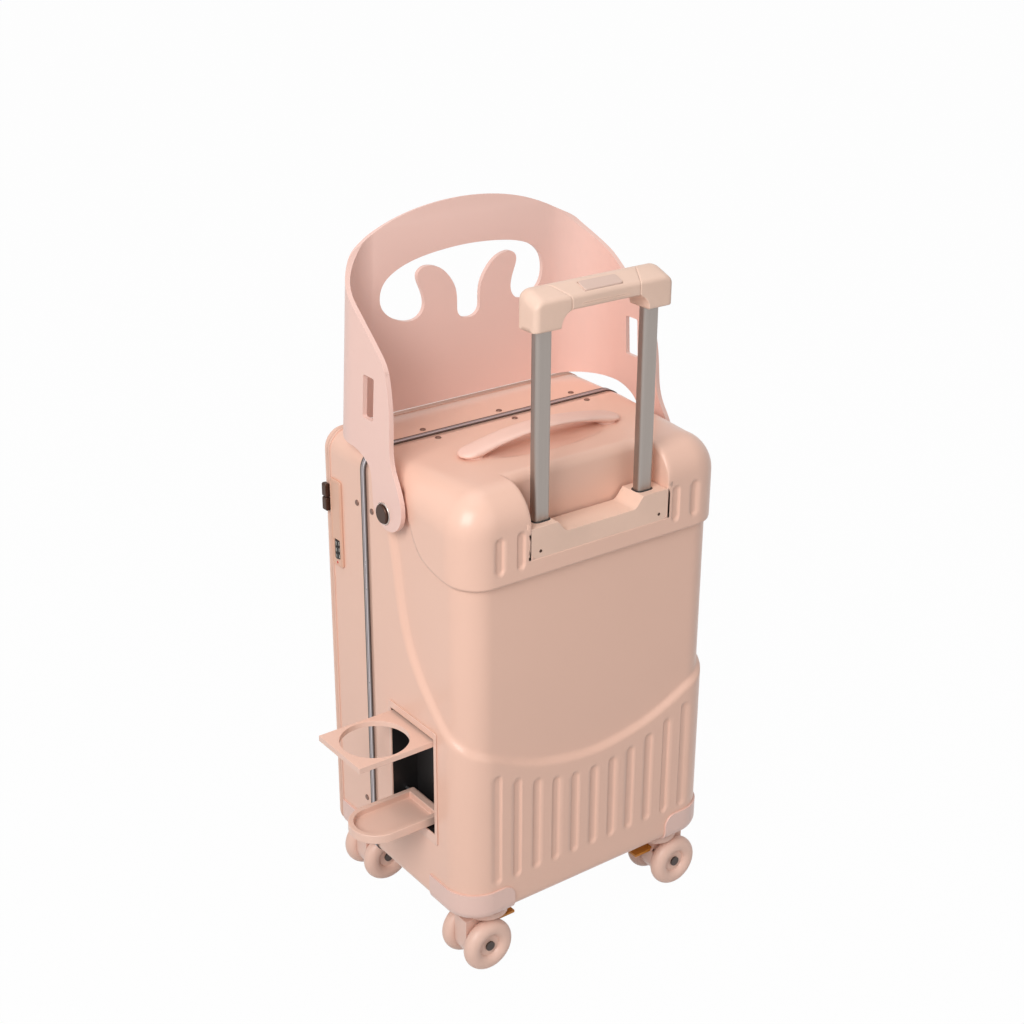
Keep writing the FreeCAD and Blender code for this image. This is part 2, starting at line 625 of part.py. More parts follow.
def front_shell():
    """Front shell: an open ring from the joint strip to the door."""
    ring = case_block(0, STRIP_FRONT, DOOR_Y)
    hollow = rounded_outline(HALF - SHELL, s.case_bottom + s.wall, s.case_top - s.wall,
                             s.corner_round - SHELL, foot_radius(SHELL), STRIP_FRONT)
    ring = ring.cut(hollow.extrude(Vector(0, DOOR_Y - STRIP_FRONT, 0)))
    spindle = Part.makeCylinder(s.spindle_radius, 3 * s.dial_pitch + 4, spindle_foot())
    for tool in (SHANK_HOLES, lock_pocket(), spindle):
        ring = ring.cut(tool)
    return ring


def spindle_foot():
    return Vector(-HALF + s.dial_sink, LOCK_Y, s.dial_first - s.dial_pitch / 2 - 2)


def ring_band(outer_inset, inner_inset, near, far):
    """A band round the case between two insets."""
    return case_block(outer_inset, near, far).cut(case_block(inner_inset, near, far))


def joint_strip():
    """Aluminium joint profile: proud strip with a groove, and a flange under both shells."""
    strip = ring_band(-s.strip_proud, s.strip_depth, STRIP_REAR, STRIP_FRONT)
    near = s.seam_y - s.flange_width / 2
    far = s.seam_y + s.flange_width / 2
    outer = rounded_outline(HALF - SHELL, s.case_bottom + s.wall, s.case_top - s.wall,
                            s.corner_round - SHELL, foot_radius(SHELL), near)
    inner = rounded_outline(HALF - SHELL - s.flange_thick, s.case_bottom + s.wall + s.flange_thick,
                            s.case_top - s.wall - s.flange_thick,
                            s.corner_round - SHELL - s.flange_thick,
                            foot_radius(SHELL + s.flange_thick), near)
    flange = outer.cut(inner).extrude(Vector(0, far - near, 0))
    groove = ring_band(-2 * s.strip_proud, 0, s.seam_y - s.strip_groove / 2, s.seam_y + s.strip_groove / 2)
    profile = strip.fuse(flange).cut(groove).removeSplitter()
    return profile.cut(SHANK_HOLES)


def front_door():
    """Shallow door with its front edges rounded, hollow towards the case."""
    near = DOOR_Y + s.door_gap
    block = case_block(0, near, s.front_face)
    block = block.makeFillet(s.front_round, edge_loop(block, s.front_face))
    return block.cut(case_block(2 * s.wall, near, s.front_face - s.wall))


def zip_band(near, far):
    return ring_band(-s.zip_proud, 0, near, far)


def guard_height(share):
    """Height of a point on the guard, by its share of the guard's own height."""
    return s.guard_low + share * (s.guard_top - s.guard_low)


def guard_outline_side():
    """Side view of a guard arm: the swept rear edge, the round pivot end and the lower edge."""
    r = s.lobe_radius
    lobe_y = s.pivot_y - 6
    lobe_z = s.pivot_z + 9
    swept = [(1.014, 1.16), (0.964, 0.92), (0.914, 0.835), (0.855, 0.786), (0.796, 0.7535), (0.72, 0.7186),
             (0.543, 0.6535), (0.349, 0.574), (0.158, 0.495), (0.0235, 0.421), (-0.0226, 0.3535), (-0.063, 0.254),
             (-0.081, 0.13), (-0.09, 0.0465)]
    rear_edge = [Vector(0, s.pivot_y + s.guard_front * y, guard_height(share)) for y, share in swept]
    rear_edge.append(Vector(0, lobe_y - r + 16.5, lobe_z + 40))
    rear_edge.append(Vector(0, lobe_y - r + 8, lobe_z + 26))
    rear_edge.append(Vector(0, lobe_y - r + 1, lobe_z + 10))
    rear_edge.append(Vector(0, lobe_y - r, lobe_z))
    front_tangent = Vector(0, lobe_y + r, lobe_z)
    lobe = Part.Arc(rear_edge[-1], Vector(0, lobe_y, lobe_z - r), front_tangent)
    knee = Vector(0, lobe_y + 2.4 * r, s.guard_low - 2)
    lower = curve([front_tangent, Vector(0, lobe_y + r + 1, lobe_z + 14), Vector(0, lobe_y + r + 5, lobe_z + 30),
                   Vector(0, lobe_y + r + 15, s.guard_low - 8), knee])
    front = rear_edge[0].y
    return closed_face([
        curve(rear_edge), lobe.toShape(), lower,
        Part.makeLine(knee, Vector(0, front, s.guard_low)),
        Part.makeLine(Vector(0, front, s.guard_low), rear_edge[0]),
    ])


def guard_plan(half, front, radius, z):
    """Plan of the guard at one height: two arms and a back with round corners."""
    rear = s.pivot_y - 2 * s.lobe_radius
    slope = radius * (1 - math.sqrt(0.5))
    edges = [Part.makeLine(Vector(-half, rear, z), Vector(half, rear, z)),
             Part.makeLine(Vector(radius - half, front, z), Vector(half - radius, front, z))]
    for side in SIDES:
        arm_end = Vector(side * half, front - radius, z)
        edges.append(Part.makeLine(Vector(side * half, rear, z), arm_end))
        middle = Vector(side * (half - slope), front - slope, z)
        edges.append(Part.Arc(arm_end, middle, Vector(side * (half - radius), front, z)).toShape())
    return Part.Wire(Part.__sortEdges__(edges))


def guard_wall(half, front, radius, low, high):
    """The guard's plan as a solid: upright up to the bend, then leaning inwards."""
    bend = s.guard_bend
    slant = s.guard_lean / (s.guard_top - bend)
    upright = Part.Face(guard_plan(half, front, radius, low)).extrude(Vector(0, 0, bend - low))
    sections = [guard_plan(half, front, radius, bend),
                guard_plan(half - slant * (high - bend), front, radius, high)]
    return upright.fuse(Part.makeLoft(sections, True, True))


def hand_hole():
    """Hand hole in the guard's back with two tongues standing up from its lower edge."""
    low = s.hole_low
    tall = s.hole_high - s.hole_low
    half = s.hole_half
    right = [
        (0, -0.125), (0.075, -0.105), (0.127, -0.035), (0.141, 0.11), (0.16, 0.37), (0.232, 0.56), (0.34, 0.71),
        (0.447, 0.77), (0.55, 0.76), (0.605, 0.68), (0.605, 0.59), (0.573, 0.46), (0.54, 0.31), (0.545, 0.14),
        (0.61, 0.03), (0.705, 0.0), (0.83, 0.05), (0.93, 0.15), (0.99, 0.29), (1.0, 0.46), (0.965, 0.62),
        (0.87, 0.76), (0.68, 0.885), (0.42, 0.96), (0.14, 0.995), (0, 1.0),
    ]
    left = [(-x, z) for x, z in reversed(right[1:-1])]
    points = [Vector(half * x + s.tongue_shift * (1 - x ** 4), 0, low + tall * z) for x, z in right + left]
    line = Part.BSplineCurve()
    line.interpolate(points, PeriodicFlag=True)
    face = Part.Face(Part.Wire([line.toShape()]))
    return face.extrude(Vector(0, FAR, 0))


def guard():
    """Wrap-around guard: a bent sheet trimmed to its side and front outlines."""
    low = s.pivot_z - 2 * s.lobe_radius
    high = s.guard_top + s.guard_thick
    outer = guard_wall(ARM_OUTER, s.guard_front, s.guard_round, low, high)
    inner = guard_wall(ARM_INNER, s.guard_front - s.guard_thick, s.guard_round - s.guard_thick, low, high)
    side_prism = guard_outline_side().extrude(Vector(2 * FAR, 0, 0))
    side_prism.translate(Vector(-FAR, 0, 0))
    crest = [(0.23, 0.988), (0.46, 0.949), (0.634, 0.895), (0.726, 0.858), (0.813, 0.819), (0.849, 0.793),
             (0.922, 0.754), (1.02, 0.71)]
    arch = [(-x, share) for x, share in reversed(crest)] + [(0, 1.0)] + crest
    arch = [Vector(ARM_OUTER * x, 0, guard_height(share)) for x, share in arch]
    first = arch[0]
    last = arch[-1]
    front_face = closed_face([
        curve(arch),
        Part.makeLine(last, Vector(last.x, 0, low)),
        Part.makeLine(Vector(last.x, 0, low), Vector(first.x, 0, low)),
        Part.makeLine(Vector(first.x, 0, low), first),
    ])
    front_prism = front_face.extrude(Vector(0, 2 * FAR, 0))
    front_prism.translate(Vector(0, -FAR, 0))
    body = outer.cut(inner).common(side_prism).common(front_prism).cut(hand_hole())
    slot_low = s.slot_z - s.slot_height / 2
    slot = Part.makeBox(2 * FAR, s.slot_width, s.slot_height, Vector(-FAR, s.slot_y - s.slot_width / 2, slot_low))
    slot = slot.makeFillet(s.slot_width / 8, [edge for edge in slot.Edges if edge.BoundBox.XLength > FAR])
    body = body.cut(slot)
    for hole in pivot_holes(s.bush_radius + s.bush_play):
        body = body.cut(hole)
    return body


def grip():
    """Whole grip: a bar with deeper ends over the tubes, all outer edges rounded."""
    low = s.grip_low
    inner = s.grip_half - s.grip_end
    rise = s.grip_bridge - low
    y = TUBE_Y - s.grip_deep / 2
    half = s.grip_half
    high = s.grip_high
    points = [(-half, low), (-inner, low), (rise - inner, s.grip_bridge), (inner - rise, s.grip_bridge),
              (inner, low), (half, low), (half, high), (-half, high)]
    bar = polygon([Vector(x, y, z) for x, z in points]).extrude(Vector(0, s.grip_deep, 0))
    bar = bar.cut(grip_sky(0))
    return bar.makeFillet(s.grip_round, bar.Edges)


def grip_sky(rise):
    """Space over the grip's top, which falls towards the rear edge, lifted by the rise."""
    knee = TUBE_Y + s.grip_deep / 2 - s.grip_level
    rear = TUBE_Y - s.grip_deep / 2
    high = s.grip_high + rise
    beyond = Vector(-FAR, 2 * rear - knee, high - 2 * s.grip_fall)
    outline = [Vector(-FAR, knee, high), beyond, Vector(-FAR, beyond.y, high + FAR), Vector(-FAR, knee, high + FAR)]
    return polygon(outline).extrude(Vector(2 * FAR, 0, 0))


def cover_prism():
    """Space of the grip cover: over the seam, with slanting ends."""
    y_near = TUBE_Y - s.grip_deep
    y_far = TUBE_Y + s.grip_deep
    z = s.cover_split
    plan = [Vector(-s.seam_near, y_near, z), Vector(s.seam_near, y_near, z),
            Vector(s.seam_far, y_far, z), Vector(-s.seam_far, y_far, z)]
    return polygon(plan).extrude(Vector(0, 0, FAR))


def bar_space():
    """Space inside the grip for the release bar and its travel."""
    half = s.tube_x + s.rod_radius + 2
    low = s.grip_low + s.socket_depth
    high = low + s.bar_height + s.button_travel + 2
    deep = s.bar_deep + 1
    return Part.makeBox(2 * half, deep, high - low, Vector(-half, TUBE_Y - deep / 2, low))


BAR_LOW = s.grip_low + s.socket_depth + s.button_travel + 1


def button_block(play, low, high):
    half = s.button_half + play
    deep = s.button_deep + 2 * play
    block = Part.makeBox(2 * half, deep, high - low, Vector(-half, TUBE_Y - s.button_back - deep / 2, low))
    return block.makeFillet(s.button_deep / 4, [edge for edge in block.Edges if edge.BoundBox.ZLength > 1])


def grip_sockets():
    top = s.grip_low + s.socket_depth
    return [upright_tube(side * s.tube_x, TUBE_Y, s.tube_width, s.tube_deep, s.tube_round,
                         s.grip_low - s.tube_deep, top) for side in SIDES]


def grip_body():
    body = grip().cut(cover_prism())
    for tool in grip_sockets() + [bar_space()]:
        body = body.cut(tool)
    return body


def grip_cover():
    cover = grip().common(cover_prism())
    return cover.cut(button_block(s.slot_play, s.cover_split - 1, s.grip_high + FAR)).cut(bar_space())


def release_linkage():
    """Cross bar under the button with a rod down each tube."""
    half = s.tube_x + s.rod_radius
    bar = Part.makeBox(2 * half, s.bar_deep, s.bar_height, Vector(-half, TUBE_Y - s.bar_deep / 2, BAR_LOW))
    rod_low = s.tube_low + s.button_travel + 1
    rods = [Part.makeCylinder(s.rod_radius, BAR_LOW - rod_low, Vector(side * s.tube_x, TUBE_Y, rod_low))
            for side in SIDES]
    return joined([bar] + rods)


def sliding_tubes():
    solids = []
    for side in SIDES:
        x = side * s.tube_x
        top = s.grip_low + s.socket_depth
        outer = upright_tube(x, TUBE_Y, s.tube_width, s.tube_deep, s.tube_round, s.tube_low, top)
        inner = upright_tube(x, TUBE_Y, s.tube_width - 2 * s.tube_wall, s.tube_deep - 2 * s.tube_wall,
                             s.tube_round - s.tube_wall, s.tube_low, top)
        solids.append(outer.cut(inner))
    return Part.makeCompound(solids)


def tube_stops():
    """Plug under each sliding tube, with a neck inside it that guides the release rod."""
    solids = []
    for side in SIDES:
        x = side * s.tube_x
        height = s.tube_deep
        plug = upright_tube(x, TUBE_Y, s.tube_width, s.tube_deep, s.tube_round, s.tube_low - height, s.tube_low)
        neck = upright_tube(x, TUBE_Y, s.tube_width - 2 * s.tube_wall, s.tube_deep - 2 * s.tube_wall,
                            s.tube_round - s.tube_wall, s.tube_low, s.tube_low + 2 * height)
        bore = Part.makeCylinder(s.rod_radius + s.rod_play, 2 * height, Vector(x, TUBE_Y, s.tube_low))
        solids.append(plug.fuse(neck).cut(bore).removeSplitter())
    return Part.makeCompound(solids)


def sleeves():
    """Fixed outer tubes inside the rear shell."""
    solids = []
    for side in SIDES:
        x = side * s.tube_x
        outer = upright_tube(x, TUBE_Y, SLEEVE_WIDTH, SLEEVE_DEEP, SLEEVE_ROUND, s.sleeve_low, s.sleeve_high)
        inner = upright_tube(x, TUBE_Y, s.tube_width + 2 * s.tube_play, s.tube_deep + 2 * s.tube_play,
                             s.tube_round + s.tube_play, s.sleeve_low, s.sleeve_high)
        solids.append(outer.cut(inner))
    return Part.makeCompound(solids)


def trolley_foot():
    """Bracket on the rear wall that holds the lower ends of the fixed tubes."""
    low = s.sleeve_low - s.foot_height / 2
    half = s.tube_x + SLEEVE_WIDTH
    wall_y = -s.rear_face + SHELL
    block = Part.makeBox(2 * half, -s.cover_front - s.wall - wall_y, s.foot_height, Vector(-half, wall_y, low))
    for side in SIDES:
        block = block.cut(upright_tube(side * s.tube_x, TUBE_Y, SLEEVE_WIDTH, SLEEVE_DEEP, SLEEVE_ROUND,
                                       s.sleeve_low, s.sleeve_high))
    return block


def trolley_cover():
    """Channel panel over the trolley tubes, against the rear wall."""
    wall_y = -s.rear_face + SHELL
    low = s.sleeve_low - s.foot_height / 2
    high = s.housing_low - s.seat_play - s.wall
    half = s.cover_half
    outer = Part.makeBox(2 * half, -s.cover_front - wall_y, high - low, Vector(-half, wall_y, low))
    inner = Part.makeBox(2 * (half - s.wall), -s.cover_front - s.wall - wall_y, high - low,
                         Vector(s.wall - half, wall_y, low))
    return outer.cut(inner)


def trolley_housing():
    """Housing with a collar round each tube and a scooped trough between them."""
    half = s.housing_half
    inner = half - s.collar_width
    high = s.housing_high
    trough = s.housing_trough
    y = -s.rear_face
    points = [(-half, s.housing_low), (half, s.housing_low), (half, high), (inner, high),
              (inner - s.trough_ramp, trough), (s.trough_ramp - inner, trough), (-inner, high), (-half, high)]
    block = polygon([Vector(x, y, z) for x, z in points]).extrude(Vector(0, s.housing_deep, 0))
    lower = [edge for edge in block.Edges if edge.BoundBox.YLength > 1 and edge.CenterOfMass.z < s.housing_low + 1]
    ramp_foot = [edge for edge in block.Edges if edge.BoundBox.YLength > 1 and abs(edge.CenterOfMass.z - trough) < 1]
    block = block.makeFillet(s.housing_round, lower + ramp_foot)
    for side in SIDES:
        x = side * s.tube_x
        block = block.cut(upright_tube(x, TUBE_Y, SLEEVE_WIDTH, SLEEVE_DEEP, SLEEVE_ROUND,
                                       s.housing_low - 1, s.sleeve_high))
        block = block.cut(upright_tube(x, TUBE_Y, s.tube_width + 2 * s.tube_play, s.tube_deep + 2 * s.tube_play,
                                       s.tube_round + s.tube_play, s.housing_low, s.housing_high + 1))
    return block


def carry_strap():
    """Bowed strap with round ends, and a headed stud through the top at each end."""
    half = s.strap_half
    low = s.case_top + s.mount_height + 0.3
    y = s.strap_y - s.strap_width / 2
    lower = Part.Arc(Vector(-half, y, low), Vector(0, y, low + s.strap_bow), Vector(half, y, low)).toShape()
    high = low + s.strap_thick
    upper = Part.Arc(Vector(-half, y, high), Vector(0, y, high + s.strap_bow), Vector(half, y, high)).toShape()
    ends = [Part.makeLine(Vector(side * half, y, low), Vector(side * half, y, high)) for side in SIDES]
    strip = closed_face([lower, upper] + ends).extrude(Vector(0, s.strap_width, 0))
    plan = Part.makeBox(2 * half, s.strap_width, FAR, Vector(-half, y, low - 1))
    plan = plan.makeFillet(s.strap_width * 0.45, [edge for edge in plan.Edges if edge.BoundBox.ZLength > 1])
    strap = strip.common(plan)
    under = s.case_top - s.wall - s.strap_lift - 0.5
    studs = []
    for side in SIDES:
        x = side * s.stud_x
        studs.append(Part.makeCylinder(s.stud_radius, low + s.strap_thick / 2 - under, Vector(x, s.strap_y, under)))
        studs.append(Part.makeCylinder(s.stud_head, s.wall, Vector(x, s.strap_y, under - s.wall)))
    return joined([strap] + studs)


def bracket(side, end):
    """Corner bracket wrapped round a lower corner, with the boss that carries a caster."""
    grow = -s.bracket_thick
    low = s.boss_low + s.bracket_thick
    if end < 0:
        near, far = -s.rear_face - 2 * s.bracket_thick, -s.bracket_side
        case = rear_block(0, STRIP_REAR)
        skin = rear_block(grow, STRIP_REAR)
        inner_x = s.bracket_rear_x
        y = -s.caster_rear
    else:
        near, far = s.bracket_side + s.strip_width, DOOR_Y - s.zip_width - 0.4
        zip_start = DOOR_Y - s.zip_width - s.door_gap
        under_zip = s.case_bottom - s.zip_proud - s.door_gap
        under_door = Part.makeBox(s.case_width, FAR, FAR, Vector(-HALF, zip_start, under_zip))
        case = case_block(0, STRIP_FRONT, DOOR_Y).fuse(under_door)
        skin = case_block(grow, STRIP_FRONT, DOOR_Y)
        inner_x = s.bracket_rear_x
        y = s.caster_front
    width = HALF + 2 * s.bracket_thick - inner_x
    left = inner_x if side > 0 else -inner_x - width
    corner = Part.makeBox(width, far - near, s.bracket_top - low, Vector(left, near, low))
    shoulder = [edge for edge in corner.Edges
                if edge.BoundBox.YLength > 1 and edge.CenterOfMass.z > s.bracket_top - 1
                and abs(edge.CenterOfMass.x) < inner_x + 1]
    plate = skin.common(corner.makeFillet(s.bracket_round, shoulder))
    boss = Part.makeCylinder(s.boss_radius, s.case_bottom + 2 * s.wall - s.boss_low,
                             Vector(side * s.caster_x, y, s.boss_low))
    bore = Part.makeCylinder(s.swivel_radius, s.case_bottom - s.wall - s.boss_low,
                             Vector(side * s.caster_x, y, s.boss_low))
    return plate.fuse(boss).cut(case).cut(bore).removeSplitter()


def cup_plate():
    """Fold-out plate with a round cup hole, a barrel at its hinge."""
    x = -HALF + s.cup_thick / 2
    z = s.cup_axis_z - s.cup_thick / 2
    half = s.cup_width / 2
    plate = Part.makeBox(s.cup_reach, s.cup_width, s.cup_thick, Vector(x - s.cup_reach, s.cup_y - half, z))
    hole = Part.makeCylinder(s.cup_hole, 3 * s.cup_thick, Vector(x - s.cup_hole_reach, s.cup_y, z - s.cup_thick))
    barrel = Part.makeCylinder(s.cup_thick / 2, s.cup_width, Vector(x, s.cup_y - half, s.cup_axis_z),
                               Vector(0, 1, 0))
    bore = Part.makeCylinder(s.cup_pin + s.pin_play, s.cup_width, Vector(x, s.cup_y - half, s.cup_axis_z),
                             Vector(0, 1, 0))
    return plate.cut(hole).fuse(barrel).cut(bore).removeSplitter()


TRAY_X = -HALF + s.cup_thick + s.tray_layer


def cup_tray():
    """U-shaped tray with a rim and a floor, a barrel at its hinge."""
    half = s.tray_width / 2
    low = s.tray_axis_z - s.tray_height / 2

    def outline(inset, floor):
        r = half - inset
        end = TRAY_X - s.tray_reach + half
        arc = Part.Arc(Vector(end, s.cup_y - r, floor), Vector(end - r, s.cup_y, floor),
                       Vector(end, s.cup_y + r, floor)).toShape()
        rear_x = TRAY_X - inset
        corners = [Vector(end, s.cup_y - r, floor), Vector(rear_x, s.cup_y - r, floor),
                   Vector(rear_x, s.cup_y + r, floor), Vector(end, s.cup_y + r, floor)]
        lines = [Part.makeLine(a, b) for a, b in zip(corners, corners[1:])]
        return closed_face([arc] + lines).extrude(Vector(0, 0, s.tray_height))

    tray = outline(0, low).cut(outline(2 * s.tray_wall, low + s.tray_wall))
    barrel = Part.makeCylinder(s.tray_height / 2, s.tray_width, Vector(TRAY_X, s.cup_y - half, s.tray_axis_z),
                               Vector(0, 1, 0))
    bore = Part.makeCylinder(s.cup_pin + s.pin_play, s.tray_width, Vector(TRAY_X, s.cup_y - half, s.tray_axis_z),
                             Vector(0, 1, 0))
    return tray.fuse(barrel).cut(bore).removeSplitter()


# Shells, joint strip and door
subpart("rear_shell", shaped("rear_shell_solid", rear_shell()))
subpart("front_shell", shaped("front_shell_solid", front_shell()))
subpart("joint_strip", shaped("joint_strip_solid", joint_strip()))
subpart("frame_rivets", shaped("frame_rivet_solids", SHANK_HOLES))
subpart("front_door", shaped("front_door_solid", front_door()))
subpart("zip_tape", shaped("zip_tape_solid", zip_band(DOOR_Y - s.zip_width, DOOR_Y)))
subpart("door_zip", shaped("door_zip_solid", zip_band(DOOR_Y + s.door_gap, DOOR_Y + s.door_gap + s.zip_width)))

# Zip sliders, which meet at the lock
DOOR_PLANE = "front_face - door_depth"
for name, drop in (("zip_pull_upper", "0.2"), ("zip_pull_lower", "-zip_pull_height - 0.2")):
    slider = box(name + "_block", ("zip_pull_rise", "zip_pull_width", "zip_pull_height"),
                 ("-case_width / 2 - zip_proud - 0.2 - zip_pull_rise",
                  DOOR_PLANE + " - zip_pull_width / 2 + 1.2", "zip_pull_z + (" + drop + ")"))
    subpart(name, eased(name + "_solid", slider, Vector(0, 1, 0), s.zip_pull_rise / 3))

# Door hinge on the right side
HINGE_X = "case_width / 2 + zip_proud + hinge_radius + knuckle_play"
HINGE_Y = DOOR_PLANE + " + door_gap / 2"
KNUCKLES = 5
STEP = "(hinge_high - hinge_low) / %d" % KNUCKLES
for name, first, plate_y, plate_width in (
        ("door_hinge_leaf", 0, DOOR_PLANE + " - 4 * zip_width", "4 * zip_width - 0.3"),
        ("door_hinge_wing", 1, DOOR_PLANE + " + door_gap + 0.2", "zip_width")):
    pieces = [box(name + "_plate", ("hinge_leaf", plate_width, "hinge_high - hinge_low"),
                  ("case_width / 2 + zip_proud", plate_y, "hinge_low"))]
    for index in range(first, KNUCKLES, 2):
        foot = "hinge_low + %d * %s + 0.2" % (index, STEP)
        pieces.append(cylinder("%s_knuckle_%d" % (name, index), "hinge_radius", STEP + " - 0.4",
                               (HINGE_X, HINGE_Y, foot)))
    hinge_tools = [cylinder(name + "_bore", "hinge_pin + pin_play", "hinge_high - hinge_low",
                            (HINGE_X, HINGE_Y, "hinge_low"))]
    for index in range(1 - first, KNUCKLES, 2):
        foot = "hinge_low + %d * %s" % (index, STEP)
        hinge_tools.append(cylinder("%s_relief_%d" % (name, index), "hinge_radius + knuckle_play", STEP,
                                    (HINGE_X, HINGE_Y, foot)))
    subpart(name, cut(name + "_solid", fuse(name + "_joined", pieces), hinge_tools))
subpart("door_hinge_pin", cylinder("door_hinge_pin_solid", "hinge_pin", "hinge_high - hinge_low",
                                   (HINGE_X, HINGE_Y, "hinge_low")))

# Combination lock
LOCK_MIDDLE = DOOR_PLANE + " - zip_width - 0.2 - lock_width / 2"
lock_blank = box("lock_blank", ("lock_thick", "lock_width", "lock_high - lock_low"),
                 ("-case_width / 2 - lock_thick", LOCK_MIDDLE + " - lock_width / 2", "lock_low"))
lock_round = eased("lock_round", lock_blank, Vector(1, 0, 0), s.lock_width / 6)
subpart("lock_plate", cut("lock_plate_solid", lock_round, [shaped("lock_window", lock_pocket())]))
subpart("lock_spindle", cylinder("lock_spindle_solid", "spindle_radius", "3 * dial_pitch + 4",
                                 ("-case_width / 2 + dial_sink", LOCK_MIDDLE, "dial_first - dial_pitch / 2 - 2")))
for index in range(3):
    name = "lock_dial_%d" % (index + 1)
    dial_foot = "dial_first + %d * dial_pitch - dial_height / 2" % index
    dial_at = ("-case_width / 2 + dial_sink", LOCK_MIDDLE, dial_foot)
    dial = cylinder(name + "_blank", "dial_radius", "dial_height", dial_at)
    dial_bore = cylinder(name + "_bore", "spindle_radius + pin_play", "dial_height", dial_at)
    subpart(name, cut(name + "_solid", dial, [dial_bore]))

# Trolley handle
subpart("trolley_housing", shaped("trolley_housing_solid", trolley_housing()))
subpart("trolley_sleeves", shaped("trolley_sleeve_solids", sleeves()))
subpart("trolley_foot", shaped("trolley_foot_solid", trolley_foot()))
subpart("trolley_cover", shaped("trolley_cover_solid", trolley_cover()))
subpart("trolley_tubes", shaped("trolley_tube_solids", sliding_tubes()))
subpart("tube_stops", shaped("tube_stop_solids", tube_stops()))
subpart("grip_body", shaped("grip_body_solid", grip_body()))
subpart("grip_cover", shaped("grip_cover_solid", grip_cover()))
BUTTON = button_block(0, BAR_LOW + s.bar_height, s.grip_high + s.button_proud).cut(grip_sky(s.button_proud))
subpart("grip_button", shaped("grip_button_solid", BUTTON))
subpart("release_linkage", shaped("release_linkage_solid", release_linkage()))

# Guard and its pivots
subpart("guard", shaped("guard_solid", guard()))
PIVOT = ("pivot_y", "pivot_z")
bolts = []
bushes = []
nuts = []
for side in SIDES:
    turn = Rotation(Vector(0, 1, 0), 90 * side)
    tag = "left" if side < 0 else "right"
    outward = "%d * " % side
    panel = outward + "(case_width / 2 - recess)"
    arm_face = outward + "(case_width / 2 + guard_gap - arm_play)"
    bush_end = outward + "(case_width / 2 + guard_gap + guard_thick + arm_play)"
    flange = cylinder("bush_flange_" + tag, "bush_flange", "recess + guard_gap - arm_play", (panel,) + PIVOT, turn)
    sleeve = cylinder("bush_sleeve_" + tag, "bush_radius", "guard_thick + 2 * arm_play", (arm_face,) + PIVOT, turn)
    bush_bore = cylinder("bush_bore_" + tag, "bolt_radius", "recess + guard_gap + guard_thick + 2 * arm_play",
                         (panel,) + PIVOT, turn)
    bushes.append(cut("bush_" + tag, fuse("bush_joined_" + tag, [flange, sleeve]), [bush_bore]))
    head = cylinder("bolt_head_" + tag, "bolt_head", "bolt_rise", (bush_end,) + PIVOT, turn)
    nut_face = outward + "(case_width / 2 - recess - wall - nut_thick)"
    shank = cylinder("bolt_shank_" + tag, "bolt_radius",
                     "nut_thick + wall + recess + guard_gap + guard_thick + arm_play", (nut_face,) + PIVOT, turn)
    bolts.append(fuse("bolt_" + tag, [head, shank]))
    nut_blank = cylinder("nut_blank_" + tag, "nut_radius", "nut_thick", (nut_face,) + PIVOT, turn)
    nut_bore = cylinder("nut_bore_" + tag, "bolt_radius", "nut_thick", (nut_face,) + PIVOT, turn)
    nuts.append(cut("nut_" + tag, nut_blank, [nut_bore]))
subpart("pivot_bolts", group("pivot_bolt_pair", bolts))
subpart("pivot_bushes", group("pivot_bush_pair", bushes))
subpart("pivot_nuts", group("pivot_nut_pair", nuts))

# Carry strap
subpart("carry_strap", shaped("carry_strap_solid", carry_strap()))
strap_mounts = []
for side in SIDES:
    tag = "left" if side < 0 else "right"
    at = ("%d * stud_x" % side, "strap_y", "case_top")
    disc = cylinder("strap_disc_" + tag, "mount_radius", "mount_height", at)
    disc_bore = cylinder("strap_bore_" + tag, "stud_radius + stud_play", "mount_height", at)
    strap_mounts.append(cut("strap_mount_" + tag, disc, [disc_bore]))
subpart("strap_mounts", group("strap_mount_pair", strap_mounts))

# Cup holder
CUP_INNER_LOW = "tray_axis_z - tray_height"
CUP_INNER_HIGH = "cup_axis_z + cup_thick"
CUP_INNER_WIDTH = "cup_width + 2 * cup_play"
CUP_DEEP = "cup_box_deep - cup_box_wall"
cup_outer = box("cup_box_outer",
                ("cup_box_deep", CUP_INNER_WIDTH + " + 2 * cup_box_wall",
                 "cup_axis_z + cup_thick - tray_axis_z + tray_height + 2 * cup_box_wall"),
                ("-case_width / 2", "cup_y - cup_width / 2 - cup_play - cup_box_wall",
                 CUP_INNER_LOW + " - cup_box_wall"))
cup_inner = box("cup_box_inner",
                (CUP_DEEP, CUP_INNER_WIDTH, "cup_axis_z + cup_thick - tray_axis_z + tray_height"),
                ("-case_width / 2", "cup_y - cup_width / 2 - cup_play", CUP_INNER_LOW))
CUP_PIN_LENGTH = CUP_INNER_WIDTH + " + 2 * cup_box_wall"
PIN_START = "cup_y - cup_width / 2 - cup_play - cup_box_wall"
PLATE_AXIS = ("-case_width / 2 + cup_thick / 2", PIN_START, "cup_axis_z")
TRAY_AXIS = ("-case_width / 2 + cup_thick + tray_layer", PIN_START, "tray_axis_z")
pin_tools = [cylinder("cup_pin_hole_%d" % index, "cup_pin", CUP_PIN_LENGTH, at, ALONG_Y)
             for index, at in enumerate((PLATE_AXIS, TRAY_AXIS))]
subpart("cup_box", cut("cup_box_solid", cup_outer, [cup_inner] + pin_tools))
subpart("cup_pins", group("cup_pin_pair", [
    cylinder("cup_pin_%d" % index, "cup_pin", CUP_PIN_LENGTH, at, ALONG_Y)
    for index, at in enumerate((PLATE_AXIS, TRAY_AXIS))]))
